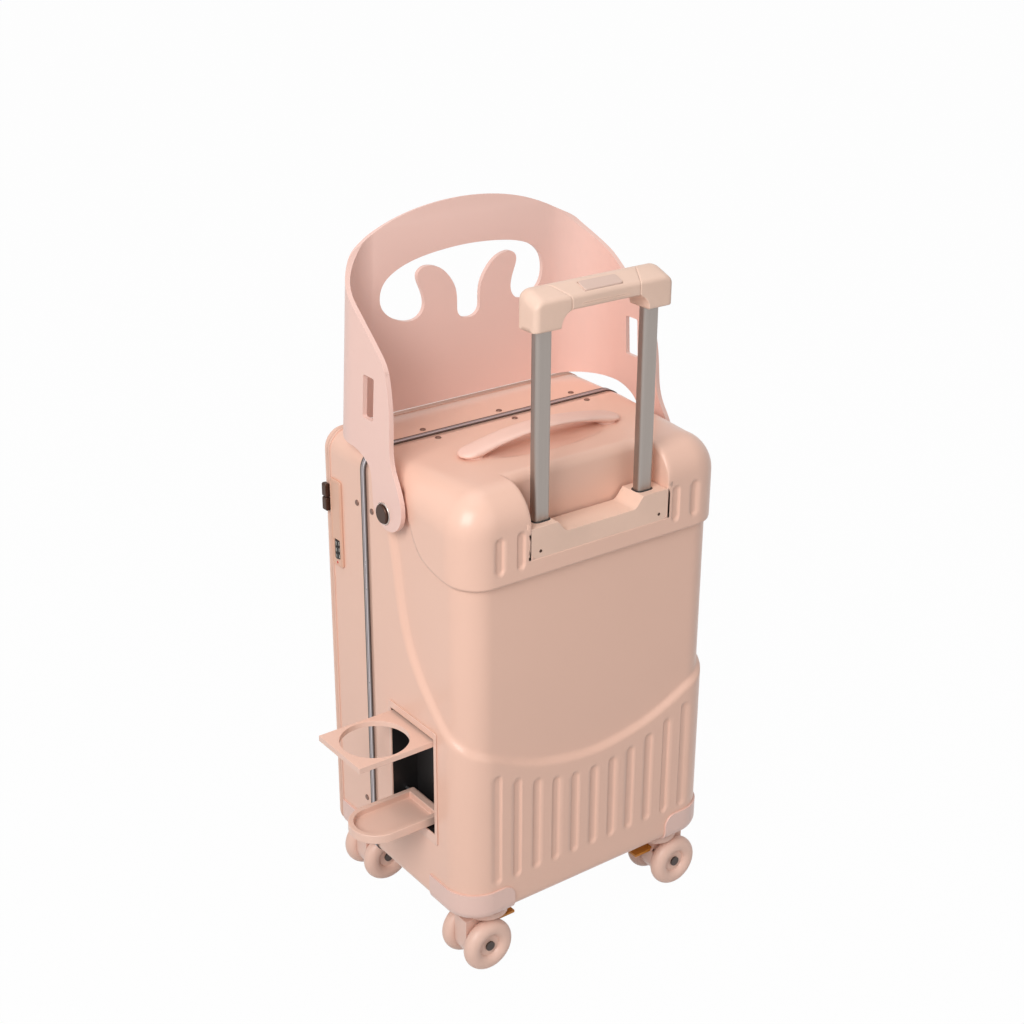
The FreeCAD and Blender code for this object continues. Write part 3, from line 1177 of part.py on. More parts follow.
bezel_blank = mid_box("bezel_blank",
                      ("bezel_proud", CUP_INNER_WIDTH + " + 2 * cup_box_wall + 2 * cup_rim",
                       "bezel_high - bezel_low"),
                      ("-case_width / 2 - bezel_proud / 2", "cup_y", "(bezel_high + bezel_low) / 2"))
bezel_round = eased("bezel_round", bezel_blank, Vector(1, 0, 0), s.cup_rim)
bezel_window = box("bezel_window",
                   ("2 * bezel_proud", CUP_INNER_WIDTH, "cup_axis_z + cup_thick - tray_axis_z + tray_height"),
                   ("-case_width / 2 - 1.5 * bezel_proud", "cup_y - cup_width / 2 - cup_play", CUP_INNER_LOW))
subpart("cup_bezel", cut("cup_bezel_solid", bezel_round, [bezel_window]))
subpart("cup_plate", shaped("cup_plate_solid", cup_plate()))
subpart("cup_tray", shaped("cup_tray_solid", cup_tray()))

# Corner brackets and casters
CASTERS = [("rear_left", -1, -1), ("rear_right", 1, -1), ("front_left", -1, 1), ("front_right", 1, 1)]
pins = []
for corner, side, end in CASTERS:
    subpart("bracket_" + corner, shaped("bracket_%s_solid" % corner, bracket(side, end)))
    x = "%d * caster_x" % side
    y = "-caster_rear" if end < 0 else "caster_front"
    wheel_x = "%d * (caster_x + trail)" % side
    pins.append(cylinder("swivel_pin_" + corner, "swivel_radius", "case_bottom - wall - wheel_radius - fork_half",
                         (x, y, "wheel_radius + fork_half")))
    hub = cylinder("fork_hub_" + corner, "fork_hub", "boss_low - swivel_gap - fork_hub_low",
                   (x, y, "fork_hub_low"))
    web = mid_box("fork_web_" + corner, ("2 * fork_disc", "fork_width", "fork_hub_low - wheel_radius"),
                  (wheel_x, y, "(fork_hub_low + wheel_radius) / 2"))
    boss = cylinder("fork_boss_" + corner, "fork_disc", "fork_width",
                    (wheel_x, y + " - fork_width / 2", "wheel_radius"), ALONG_Y)
    swivel_bore = cylinder("fork_bore_" + corner, "swivel_radius + swivel_play", "boss_low - wheel_radius",
                           (x, y, "wheel_radius + fork_half - swivel_gap"))
    axle_at = (wheel_x, y + " - fork_width / 2", "wheel_radius")
    axle_hole = cylinder("fork_axle_hole_" + corner, "axle_radius", "fork_width", axle_at, ALONG_Y)
    fork_tools = [swivel_bore, axle_hole]
    fork_pieces = [hub, web, boss]
    if end < 0:
        tab_x = "%d * (caster_x - fork_half)" % side
        tab_pin_y = y + " - fork_width / 2"
        ear_x = "%d * (caster_x - fork_half)" % side
        fork_pieces.append(cylinder("brake_ear_" + corner, "2 * brake_pin", "fork_width",
                                    (ear_x, tab_pin_y, "brake_z"), ALONG_Y))
        fork_tools.append(mid_box("brake_gap_" + corner, ("5 * brake_pin", "brake_width + 0.6", "5 * brake_pin"),
                                  (ear_x, y, "brake_z")))
        fork_tools.append(cylinder("brake_hole_" + corner, "brake_pin", "fork_width",
                                   (ear_x, tab_pin_y, "brake_z"), ALONG_Y))
    subpart("fork_" + corner, cut("fork_solid_" + corner, fuse("fork_joined_" + corner, fork_pieces), fork_tools))
    half_axle = "fork_width / 2 + wheel_gap + wheel_core + wheel_gap"
    rod = cylinder("axle_rod_" + corner, "axle_radius", "2 * (%s)" % half_axle,
                   (wheel_x, "%s - (%s)" % (y, half_axle), "wheel_radius"), ALONG_Y)
    caps = [cylinder("axle_cap_%s_%d" % (corner, index), "axle_cap", "axle_cap_thick", (wheel_x, start, "wheel_radius"),
                     ALONG_Y)
            for index, start in enumerate(("%s + %s" % (y, half_axle),
                                           "%s - (%s) - axle_cap_thick" % (y, half_axle)))]
    subpart("axle_" + corner, fuse("axle_solid_" + corner, [rod] + caps))
    wheels = []
    for facing in SIDES:
        tag = "%s_%s" % (corner, "near" if facing < 0 else "far")
        turn = ALONG_Y if facing > 0 else Rotation(Vector(1, 0, 0), 90)
        inner_face = "%s + %d * (fork_width / 2 + wheel_gap)" % (y, facing)
        middle = "%s + %d * (fork_width / 2 + wheel_gap + wheel_width / 2)" % (y, facing)
        tyre = torus("tyre_" + tag, "wheel_radius - wheel_width / 2", "wheel_width / 2",
                     (wheel_x, middle, "wheel_radius"), turn)
        core = cylinder("core_" + tag, "wheel_radius - wheel_width / 2", "wheel_core",
                        (wheel_x, inner_face, "wheel_radius"), turn)
        wheel_bore = cylinder("wheel_bore_" + tag, "axle_radius + axle_play", "2 * wheel_width",
                              (wheel_x, inner_face, "wheel_radius"), turn)
        wheels.append(cut("wheel_" + tag, fuse("wheel_joined_" + tag, [tyre, core]), [wheel_bore]))
    subpart("wheels_" + corner, group("wheel_pair_" + corner, wheels))
    if end < 0:
        tab_mid = "%d * (caster_x - fork_half - brake_length / 2 - brake_pin)" % side
        tab = mid_box("brake_tab_" + corner, ("brake_length + brake_pin", "brake_width", "brake_thick"),
                      (tab_mid, y, "brake_z"))
        tab_barrel = cylinder("brake_barrel_" + corner, "2 * brake_pin", "brake_width",
                              (tab_x, y + " - brake_width / 2", "brake_z"), ALONG_Y)
        tab_bore = cylinder("brake_bore_" + corner, "brake_pin + pin_play", "brake_width",
                            (tab_x, y + " - brake_width / 2", "brake_z"), ALONG_Y)
        subpart("brake_" + corner, cut("brake_solid_" + corner, fuse("brake_joined_" + corner, [tab, tab_barrel]),
                                       [tab_bore]))
        brake_rod = cylinder("brake_rod_" + corner, "brake_pin", "fork_width", (tab_x, tab_pin_y, "brake_z"), ALONG_Y)
        subpart("brake_pin_" + corner, brake_rod)
subpart("swivel_pins", group("swivel_pin_set", pins))

doc.recompute()
for item in doc.Objects:
    if "Invalid" in item.State or "Error" in item.State:
        raise RuntimeError("%s could not be built: %s" % (item.Label, item.State))
os.makedirs("parts", exist_ok=True)
for item in SUBPARTS:
    if item.Shape.isNull() or not item.Shape.isValid():
        raise RuntimeError("%s has no valid shape" % item.Label)
    item.Shape.exportStep(os.path.join("parts", item.Label + ".step"))
    print("%-22s %2d solids %10.1f mm3" % (item.Label, len(item.Shape.Solids), item.Shape.Volume))
print(len(SUBPARTS), "sub-parts")
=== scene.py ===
import math
import bmesh
import bpy
import numpy as np
from mathutils import Matrix, Vector


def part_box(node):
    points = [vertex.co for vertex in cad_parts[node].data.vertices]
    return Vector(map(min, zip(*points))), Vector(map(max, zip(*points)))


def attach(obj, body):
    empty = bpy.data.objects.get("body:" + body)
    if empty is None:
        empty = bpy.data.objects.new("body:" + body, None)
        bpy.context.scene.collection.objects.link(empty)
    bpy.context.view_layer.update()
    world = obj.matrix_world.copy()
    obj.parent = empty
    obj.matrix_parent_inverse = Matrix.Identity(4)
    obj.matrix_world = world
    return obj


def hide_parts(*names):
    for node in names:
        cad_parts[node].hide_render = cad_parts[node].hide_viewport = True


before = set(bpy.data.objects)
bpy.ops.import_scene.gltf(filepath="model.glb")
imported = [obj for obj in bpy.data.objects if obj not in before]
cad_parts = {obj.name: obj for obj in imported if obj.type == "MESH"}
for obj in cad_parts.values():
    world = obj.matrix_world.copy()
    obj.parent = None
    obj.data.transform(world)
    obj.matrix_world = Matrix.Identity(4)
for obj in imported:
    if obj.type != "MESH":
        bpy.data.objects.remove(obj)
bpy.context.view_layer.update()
MM = 0.001

# Sizes of the case in millimetres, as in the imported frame
HALF, LOW, HIGH, MIDDLE = 165.0, 71.0, 545.0, 309.0
REAR, LEVEL, RIM, SEAM_Y = -125.0, 32.5, 45.5, 50.0
CORNER, RIM_CORNER, ROLL, FOOT, WALL, RECESS = 42.0, 22.0, 36.0, 12.0, 2.5, 5.0
POCKET_HALF, POCKET_BACK, SEAT_HALF, SEAT_LOW, SEAT_TURN = 86.6, -88.0, 86.05, 469.95, 8.0
CUP_OPENING = (-72.3, 10.3, 156.2, 273.8)


# Meshes

# Angles in degrees from which an edge is rounded and up to which faces are joined, and points worked at once
SHARP_ANGLE, FLAT_ANGLE, BATCH = 32, 0.6, 20000


def grid_faces(rows, cols):
    """Quads between neighbouring rows and columns of a grid."""
    r, c = np.meshgrid(np.arange(rows - 1), np.arange(cols - 1), indexing="ij")
    first = (r * cols + c).reshape(-1, 1)
    return first + np.array([0, 1, cols + 1, cols])


def joined(grids):
    """Points and faces of several grids, numbered one grid after another."""
    first = np.cumsum([0] + [grid[..., 0].size for grid in grids])
    points = np.vstack([grid.reshape(-1, 3) for grid in grids])
    faces = np.vstack([grid_faces(*grid.shape[:2]) + start for grid, start in zip(grids, first)])
    return points, faces


def stacked(x, y, z):
    """Points from their three places, each spread to the common shape."""
    return np.stack(np.broadcast_arrays(x, y, z), axis=-1)


def closed(grid):
    """A grid with its first column repeated at the end."""
    return np.concatenate([grid, grid[:, :1]], axis=1)


def raw_mesh(name, points, faces):
    """A mesh from points in millimetres and faces of one corner count."""
    mesh = bpy.data.meshes.new(name)
    mesh.vertices.add(len(points))
    mesh.vertices.foreach_set("co", (np.asarray(points, float) * MM).ravel())
    mesh.loops.add(faces.size)
    mesh.loops.foreach_set("vertex_index", faces.ravel())
    mesh.polygons.add(len(faces))
    mesh.polygons.foreach_set("loop_start", np.arange(0, faces.size, faces.shape[1]))
    mesh.update(calc_edges=True)
    return mesh


def weld(mesh, outward=True, reach=2e-6):
    """Joins doubled points, drops collapsed faces and turns the faces outwards where asked."""
    work = bmesh.new()
    work.from_mesh(mesh)
    bmesh.ops.remove_doubles(work, verts=work.verts, dist=reach)
    bmesh.ops.dissolve_degenerate(work, edges=work.edges, dist=1e-7)
    if outward:
        bmesh.ops.recalc_face_normals(work, faces=work.faces)
    work.to_mesh(mesh)
    work.free()


def show(name, mesh, body, material, stands_for=(), slot=None):
    """A visible piece that rides on a body, in place of the solids it stands for."""
    mesh.polygons.foreach_set("use_smooth", np.full(len(mesh.polygons), True))
    piece = bpy.data.objects.new(name, mesh)
    bpy.context.scene.collection.objects.link(piece)
    mesh.materials.append(material)
    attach(piece, body)
    if stands_for:
        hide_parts(*stands_for)
    return piece


def sheets_of(name, grids, body, material, **more):
    """One piece from several grids of points."""
    mesh = raw_mesh(name, *joined(grids))
    weld(mesh)
    show(name, mesh, body, material, **more)


def turned(profile, centre, axis, steps=64):
    """A profile of (radius, distance along the axis) carried once round an axis."""
    axis = np.asarray(axis, float)
    side = np.cross(axis, (0.0, 0.0, 1.0) if abs(axis[2]) < 0.9 else (1.0, 0.0, 0.0))
    side /= np.linalg.norm(side)
    up = np.cross(axis, side)
    angle = np.linspace(0, 2 * np.pi, steps, endpoint=False)
    ring = np.cos(angle)[:, None] * side + np.sin(angle)[:, None] * up
    profile = np.asarray(profile, float)
    return np.asarray(centre, float) + profile[:, 0, None, None] * ring + profile[:, 1, None, None] * axis


def rounding(piece, width, segments):
    """Rounded edges on a finished piece."""
    bevel = piece.modifiers.new("rounding", "BEVEL")
    bevel.width = width * MM
    bevel.segments = segments
    bevel.limit_method = "ANGLE"
    bevel.angle_limit = math.radians(SHARP_ANGLE)
    bevel.miter_outer = "MITER_ARC"
    bevel.harden_normals = True
    bevel.use_clamp_overlap = True


def softened(node, body, material, width, segments):
    """A copy of a solid, its triangles joined into faces and its edges rounded."""
    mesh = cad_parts[node].data.copy()
    mesh.name = node + "_soft"
    mesh.materials.clear()
    if mesh.has_custom_normals:
        mesh.attributes.remove(mesh.attributes["custom_normal"])
    weld(mesh, outward=False, reach=4e-6)
    work = bmesh.new()
    work.from_mesh(mesh)
    bmesh.ops.dissolve_limit(work, angle_limit=math.radians(FLAT_ANGLE), verts=work.verts, edges=work.edges)
    work.to_mesh(mesh)
    work.free()
    rounding(show(node + "_soft", mesh, body, material, stands_for=(node,)), width, segments)


def step_up(value):
    """A smooth step from 0 to 1."""
    t = np.clip(value, 0, 1)
    return t * t * (3 - 2 * t)


def through(points, steps=16):
    """A smooth line through points, each span a cubic with the slope of its neighbours."""
    p = np.asarray(points, float)
    ends = np.vstack([2 * p[0] - p[1], p, 2 * p[-1] - p[-2]])
    t = np.linspace(0, 1, steps, endpoint=False)[:, None, None]
    a, b, c, d = ends[:-3], ends[1:-2], ends[2:-1], ends[3:]
    bow, twist = 2 * a - 5 * b + 4 * c - d, 3 * b - a - 3 * c + d
    spans = 0.5 * (2 * b + (c - a) * t + bow * t ** 2 + twist * t ** 3)
    return np.vstack([spans.transpose(1, 0, 2).reshape(-1, p.shape[1]), p[-1:]])


def side_of(points, line):
    """Distance of points from a line of short spans, positive on the line's left; worked out in batches."""
    start, run = line[:-1], np.diff(line, axis=0)
    length = (run ** 2).sum(1)
    best = np.full(len(points), 1e9)
    sign = np.ones(len(points))
    for first in range(0, len(points), BATCH):
        part = slice(first, first + BATCH)
        gap = points[part, None, :] - start
        along = np.clip((gap * run).sum(2) / length, 0, 1)
        off = gap - along[:, :, None] * run
        far = (off ** 2).sum(2)
        near = far.argmin(1)
        rows = np.arange(len(near))
        best[part] = np.sqrt(far[rows, near])
        cross = run[near, 0] * gap[rows, near, 1] - run[near, 1] * gap[rows, near, 0]
        sign[part] = np.where(cross >= 0, 1, -1)
    return best * sign


# Materials

def shader_group(name, inputs, outputs):
    """An empty shader group with its named sockets."""
    group = bpy.data.node_groups.new(name, "ShaderNodeTree")
    for title, kind, value in inputs:
        socket = group.interface.new_socket(title, in_out="INPUT", socket_type=kind)
        socket.default_value = value
    for title, kind in outputs:
        group.interface.new_socket(title, in_out="OUTPUT", socket_type=kind)
    return group, group.nodes.new("NodeGroupInput"), group.nodes.new("NodeGroupOutput")


def noise(nodes, scale, detail, rough=0.5):
    """A noise texture node."""
    texture = nodes.new("ShaderNodeTexNoise")
    texture.inputs["Scale"].default_value = scale
    texture.inputs["Detail"].default_value = detail
    texture.inputs["Roughness"].default_value = rough
    return texture


def spread(nodes, low=0.0, high=1.0):
    """A node that carries the middle of a noise, 0.3 to 0.7, onto low to high."""
    ranged = nodes.new("ShaderNodeMapRange")
    ranged.inputs["From Min"].default_value = 0.3
    ranged.inputs["From Max"].default_value = 0.7
    ranged.inputs["To Min"].default_value = low
    ranged.inputs["To Max"].default_value = high
    return ranged


COLOUR, VALUE = "NodeSocketColor", "NodeSocketFloat"
FINISH_OUT = [("Color", COLOUR), ("Roughness", VALUE), ("Height", VALUE)]


def finish_ends(group, into, out, shade, haze, height):
    """Ends a finish: its colour times a shade, a roughness from smooth to hazy, and its height."""
    nodes, links = group.nodes, group.links
    tone, gloss = nodes.new("ShaderNodeHueSaturation"), spread(nodes)
    links.new(into.outputs["Color"], tone.inputs["Color"])
    links.new(shade, tone.inputs["Value"])
    links.new(haze, gloss.inputs["Value"])
    links.new(into.outputs["Smooth"], gloss.inputs["To Min"])
    links.new(into.outputs["Hazy"], gloss.inputs["To Max"])
    links.new(tone.outputs["Color"], out.inputs["Color"])
    links.new(gloss.outputs["Result"], out.inputs["Roughness"])
    links.new(height, out.inputs["Height"])
    return group


def moulded_finish():
    """Moulded plastic: slow drift of tone, handling haze in the gloss and a faint skin ripple."""
    group, into, out = shader_group("moulded_finish", [
        ("Color", COLOUR, (0.8, 0.8, 0.8, 1)), ("Drift", VALUE, 0.04), ("Smooth", VALUE, 0.22),
        ("Hazy", VALUE, 0.34), ("Grain", VALUE, 700.0)], FINISH_OUT)
    nodes, links = group.nodes, group.links
    place = nodes.new("ShaderNodeTexCoord")
    slow = noise(nodes, 5, 3)
    haze = noise(nodes, 38, 4, 0.6)
    skin = noise(nodes, 700, 2)
    links.new(into.outputs["Grain"], skin.inputs["Scale"])
    for texture in (slow, haze, skin):
        links.new(place.outputs["Object"], texture.inputs["Vector"])
    drift = spread(nodes)
    links.new(slow.outputs["Fac"], drift.inputs["Value"])
    for operation, end in (("SUBTRACT", "To Min"), ("ADD", "To Max")):
        limit = nodes.new("ShaderNodeMath")
        limit.operation = operation
        limit.inputs[0].default_value = 1.0
        links.new(into.outputs["Drift"], limit.inputs[1])
        links.new(limit.outputs[0], drift.inputs[end])
    return finish_ends(group, into, out, drift.outputs["Result"], haze.outputs["Fac"], skin.outputs["Fac"])


def brushed_finish():
    """Drawn metal: a noise stretched along Z into fine lines of shade, gloss and relief."""
    group, into, out = shader_group("brushed_finish", [
        ("Color", COLOUR, (0.8, 0.8, 0.8, 1)), ("Smooth", VALUE, 0.25), ("Hazy", VALUE, 0.4),
        ("Across", VALUE, 900.0), ("Along", VALUE, 4.0)], FINISH_OUT)
    nodes, links = group.nodes, group.links
    place = nodes.new("ShaderNodeTexCoord")
    shape = nodes.new("ShaderNodeCombineXYZ")
    for axis, title in (("X", "Across"), ("Y", "Across"), ("Z", "Along")):
        links.new(into.outputs[title], shape.inputs[axis])
    stretch = nodes.new("ShaderNodeMapping")
    links.new(place.outputs["Object"], stretch.inputs["Vector"])
    links.new(shape.outputs["Vector"], stretch.inputs["Scale"])
    lines = noise(nodes, 1, 3, 0.6)
    links.new(stretch.outputs["Vector"], lines.inputs["Vector"])
    shade = spread(nodes, 0.97, 1.03)
    links.new(lines.outputs["Fac"], shade.inputs["Value"])
    return finish_ends(group, into, out, shade.outputs["Result"], lines.outputs["Fac"], lines.outputs["Fac"])


def spark_finish():
    """Spark-eroded plastic: a dense matt grain of small pits with a slight drift of tone."""
    group, into, out = shader_group("spark_finish", [
        ("Color", COLOUR, (0.8, 0.8, 0.8, 1)), ("Smooth", VALUE, 0.45), ("Hazy", VALUE, 0.6),
        ("Grain", VALUE, 1500.0)], FINISH_OUT)
    nodes, links = group.nodes, group.links
    place = nodes.new("ShaderNodeTexCoord")
    pits = nodes.new("ShaderNodeTexVoronoi")
    pits.feature = "SMOOTH_F1"
    slow = noise(nodes, 14, 4)
    links.new(into.outputs["Grain"], pits.inputs["Scale"])
    for texture in (pits, slow):
        links.new(place.outputs["Object"], texture.inputs["Vector"])
    drift = spread(nodes, 0.95, 1.05)
    links.new(slow.outputs["Fac"], drift.inputs["Value"])
    pit, cloud = pits.outputs["Distance"], slow.outputs["Fac"]
    return finish_ends(group, into, out, drift.outputs["Result"], cloud, pit)


MOULDED, BRUSHED, SPARK = moulded_finish(), brushed_finish(), spark_finish()


def linear(red, green, blue):
    """A colour given as it looks on screen, 0 to 255, as light."""
    level = np.array([red, green, blue]) / 255.0
    return tuple(np.where(level <= 0.04045, level / 12.92, ((level + 0.055) / 1.055) ** 2.4)) + (1.0,)


def material(name, group, colour, bump=0.05, height=0.0002, metallic=0.0, coat=0.0, coat_rough=0.1,
             specular=0.5, **settings):
    """A material whose colour, roughness and relief come from one of the finishes."""
    made = bpy.data.materials.new(name)
    made.use_nodes = True
    nodes, links = made.node_tree.nodes, made.node_tree.links
    shader = nodes["Principled BSDF"]
    shader.inputs["Metallic"].default_value = metallic
    shader.inputs["Coat Weight"].default_value = coat
    shader.inputs["Coat Roughness"].default_value = coat_rough
    shader.inputs["Specular IOR Level"].default_value = specular
    finish = nodes.new("ShaderNodeGroup")
    finish.node_tree = group
    finish.inputs["Color"].default_value = colour
    for title, value in settings.items():
        finish.inputs[title].default_value = value
    relief = nodes.new("ShaderNodeBump")
    relief.inputs["Strength"].default_value = bump
    relief.inputs["Distance"].default_value = height
    links.new(finish.outputs["Color"], shader.inputs["Base Color"])
    links.new(finish.outputs["Roughness"], shader.inputs["Roughness"])
    links.new(finish.outputs["Height"], relief.inputs["Height"])
    links.new(relief.outputs["Normal"], shader.inputs["Normal"])
    return made


shell_skin = material("shell_skin", MOULDED, linear(235, 192, 172), bump=0.015, coat=0.08, coat_rough=0.14,
                      specular=0.38, Drift=0.015, Smooth=0.3, Hazy=0.34)
guard_skin = material("guard_skin", MOULDED, linear(237, 198, 186), bump=0.015, coat=0.1, coat_rough=0.22,
                      Drift=0.015, Smooth=0.38, Hazy=0.44)
grip_skin = material("grip_skin", SPARK, linear(229, 196, 177), bump=0.06, Smooth=0.42, Hazy=0.5)
button_skin = material("button_skin", SPARK, linear(214, 184, 170), bump=0.06, Smooth=0.42, Hazy=0.5)
housing_skin = material("housing_skin", SPARK, linear(233, 197, 177), bump=0.05, Smooth=0.4, Hazy=0.48)
strap_skin = material("strap_skin", SPARK, linear(236, 197, 182), bump=0.05, Smooth=0.38, Hazy=0.46)
tube_metal = material("tube_metal", BRUSHED, linear(164, 155, 149), bump=0.01, metallic=1.0, Smooth=0.4,
                      Hazy=0.46)
strip_metal = material("strip_metal", BRUSHED, linear(156, 147, 148), bump=0.02, metallic=0.75, Smooth=0.28,
                       Hazy=0.38, Across=40.0, Along=40.0)
bead_metal = material("bead_metal", BRUSHED, linear(206, 198, 200), bump=0.02, metallic=0.7, Smooth=0.26,
                      Hazy=0.36, Across=40.0, Along=40.0)
rivet_metal = material("rivet_metal", BRUSHED, linear(128, 98, 86), bump=0.02, metallic=0.7, Smooth=0.28,
                       Hazy=0.36)
bronze = material("bronze", BRUSHED, linear(78, 56, 46), bump=0.03, metallic=0.8, Smooth=0.3, Hazy=0.42,
                  Across=300.0, Along=300.0)
steel = material("steel", BRUSHED, linear(168, 168, 170), bump=0.02, metallic=1.0, Smooth=0.3, Hazy=0.4)
ring_metal = material("ring_metal", BRUSHED, linear(196, 180, 172), bump=0.02, metallic=1.0, Smooth=0.22,
                      Hazy=0.3)
black_plastic = material("black_plastic", SPARK, linear(30, 28, 28), bump=0.1, Smooth=0.4, Hazy=0.52)
lining = material("lining", SPARK, linear(92, 86, 84), bump=0.2, height=0.0004, Smooth=0.6, Hazy=0.75,
                  Grain=600.0)
cup_skin = material("cup_skin", MOULDED, linear(231, 192, 174), bump=0.015, coat=0.1, Smooth=0.34, Hazy=0.4)
lock_skin = material("lock_skin", MOULDED, linear(222, 176, 152), bump=0.015, Smooth=0.32, Hazy=0.4)
dial_skin = material("dial_skin", SPARK, linear(44, 40, 38), bump=0.1, Smooth=0.38, Hazy=0.5)
mark_skin = material("mark_skin", SPARK, linear(226, 222, 214), bump=0.05, Smooth=0.4, Hazy=0.5)
red_skin = material("red_skin", SPARK, linear(205, 62, 38), bump=0.05, Smooth=0.35, Hazy=0.45)
zip_tape_cloth = material("zip_tape_cloth", SPARK, linear(230, 188, 169), bump=0.5, height=0.0005,
                          Smooth=0.65, Hazy=0.8, Grain=900.0)
wheel_skin = material("wheel_skin", MOULDED, linear(230, 192, 175), bump=0.015, Smooth=0.38, Hazy=0.46)
fork_skin = material("fork_skin", MOULDED, linear(229, 191, 175), bump=0.015, coat=0.1, Smooth=0.34, Hazy=0.4)
bracket_skin = material("bracket_skin", MOULDED, linear(230, 194, 182), bump=0.015, coat=0.1, Smooth=0.34,
                        Hazy=0.4)
cap_skin = material("cap_skin", SPARK, linear(60, 46, 40), bump=0.08, Smooth=0.38, Hazy=0.48)
brake_skin = material("brake_skin", SPARK, linear(206, 136, 48), bump=0.06, Smooth=0.34, Hazy=0.44)


def painted_edge_shade(metal, painted_shade_colour, start=2.1, full=2.7):
    """Paints shade on the joint strip's two outer bands, standing for the shadow in the gaps to the shells,
    by distance in millimetres from its middle line along Y.
    """
    nodes, links = metal.node_tree.nodes, metal.node_tree.links
    base = nodes["Principled BSDF"].inputs["Base Color"]
    plain = base.links[0].from_socket
    place, parts = nodes.new("ShaderNodeTexCoord"), nodes.new("ShaderNodeSeparateXYZ")
    off, size = nodes.new("ShaderNodeMath"), nodes.new("ShaderNodeMath")
    off.operation, size.operation = "SUBTRACT", "ABSOLUTE"
    off.inputs[1].default_value = SEAM_Y * MM
    band = nodes.new("ShaderNodeMapRange")
    band.inputs["From Min"].default_value = start * MM
    band.inputs["From Max"].default_value = full * MM
    # A colour mix has its factor at input 0, its colours at 6 and 7 and its result at output 2
    shade_mix = nodes.new("ShaderNodeMix")
    shade_mix.data_type = "RGBA"
    shade_mix.inputs[7].default_value = painted_shade_colour
    links.new(place.outputs["Object"], parts.inputs["Vector"])
    links.new(parts.outputs["Y"], off.inputs[0])
    links.new(off.outputs[0], size.inputs[0])
    links.new(size.outputs[0], band.inputs["Value"])
    links.new(band.outputs["Result"], shade_mix.inputs[0])
    links.new(plain, shade_mix.inputs[6])
    links.new(shade_mix.outputs[2], base)


# The joint strip's outer bands get painted shade: a darker colour standing for the shadow in the gaps between
# the strip and the shells.
joint_metal = material("joint_metal", BRUSHED, linear(178, 170, 172), bump=0.02, metallic=0.6, Smooth=0.3,
                       Hazy=0.4, Across=40.0, Along=40.0)
painted_edge_shade(joint_metal, linear(98, 84, 80))

NODE_FINISH = {
    "rear_shell": shell_skin, "front_shell": shell_skin, "front_door": shell_skin, "joint_strip": joint_metal,
    "frame_rivets": rivet_metal, "zip_tape": zip_tape_cloth, "door_zip": zip_tape_cloth,
    "zip_pull_upper": bronze, "zip_pull_lower": bronze, "door_hinge_leaf": strip_metal,
    "door_hinge_wing": strip_metal, "door_hinge_pin": steel, "lock_plate": lock_skin, "lock_spindle": steel,
    "lock_dial_1": dial_skin, "lock_dial_2": dial_skin, "lock_dial_3": dial_skin,
    "trolley_housing": housing_skin, "trolley_sleeves": tube_metal, "trolley_foot": lining,
    "trolley_cover": lining, "trolley_tubes": tube_metal, "tube_stops": black_plastic, "grip_body": grip_skin,
    "grip_cover": grip_skin, "grip_button": button_skin, "release_linkage": steel, "guard": guard_skin,
    "pivot_bolts": bronze, "pivot_bushes": guard_skin, "pivot_nuts": steel, "carry_strap": strap_skin,
    "strap_mounts": strap_skin, "cup_box": black_plastic, "cup_pins": steel, "cup_bezel": cup_skin,
    "cup_plate": cup_skin, "cup_tray": cup_skin, "swivel_pins": steel,
}
CORNERS = ("rear_left", "rear_right", "front_left", "front_right")
for corner in CORNERS:
    NODE_FINISH["bracket_" + corner] = bracket_skin
    NODE_FINISH["fork_" + corner] = fork_skin
    NODE_FINISH["axle_" + corner] = cap_skin
    NODE_FINISH["wheels_" + corner] = wheel_skin
    NODE_FINISH["brake_" + corner] = brake_skin
    NODE_FINISH["brake_pin_" + corner] = steel
for node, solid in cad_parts.items():
    for place in solid.material_slots:
        place.material = NODE_FINISH[node]


# Rear shell

INNER, CROWN = HALF - CORNER, HIGH - CORNER
POCKET_ROLL, SIDE_ROLL, POCKET_TURN = 11.0, 5.4, 12.0
POCKET_RIM, POCKET_LINE = POCKET_HALF + SIDE_ROLL, POCKET_BACK + POCKET_ROLL
GROOVE_X = np.arange(-5, 6) * 25.0
UPPER_GROOVE_X = np.array([-123.0, -98.0, 98.0, 123.0])
GROOVE_HALF, GROOVE_EDGE, GROOVE_DEEP = 5.6, 2.4, 2.4
GROOVE_FOOT, GROOVE_HEAD, UPPER_FOOT, UPPER_HEAD = 110.0, 14.0, 463.0, 503.0
WAVE_LOW, WAVE_RISE, WAVE_HALF = 222.0, 48.0, 150.0
LEDGE_WIDE, BROW_WIDE, PANEL_TOP, PANEL_FADE = 8.5, 3.6, 528.0, 8.0
SCOOP_HALF_X, SCOOP_HALF_Y, SCOOP_Y, SCOOP_EDGE, SCOOP_DEEP = 80.0, 21.0, -36.0, 0.6, 6.5
REAR_ZONE, TOP_ZONE, SPINE_REAR, CUP_SIDE = 14.0, 3.0, -80.0, -150.0

# Edges of the recessed panel, as distance along the case from the middle of the rear face and height
LOWER_EDGE = through([(-60, 230), (0, 222), (60, 229.7), (100, 243.3), (129, 257.5), (158, 268), (186, 281),
                      (208, 298), (229, 319), (246, 342), (258, 366), (268, 400), (275, 440), (283, 480),
                      (288, 524), (288, 560)])
UPPER_EDGE = through([(-60, 452), (0, 452), (60, 452), (129, 452), (160, 453), (190, 456), (212, 461),
                      (226, 468), (236, 480), (243, 496), (249, 512), (252, 524), (253, 560)])

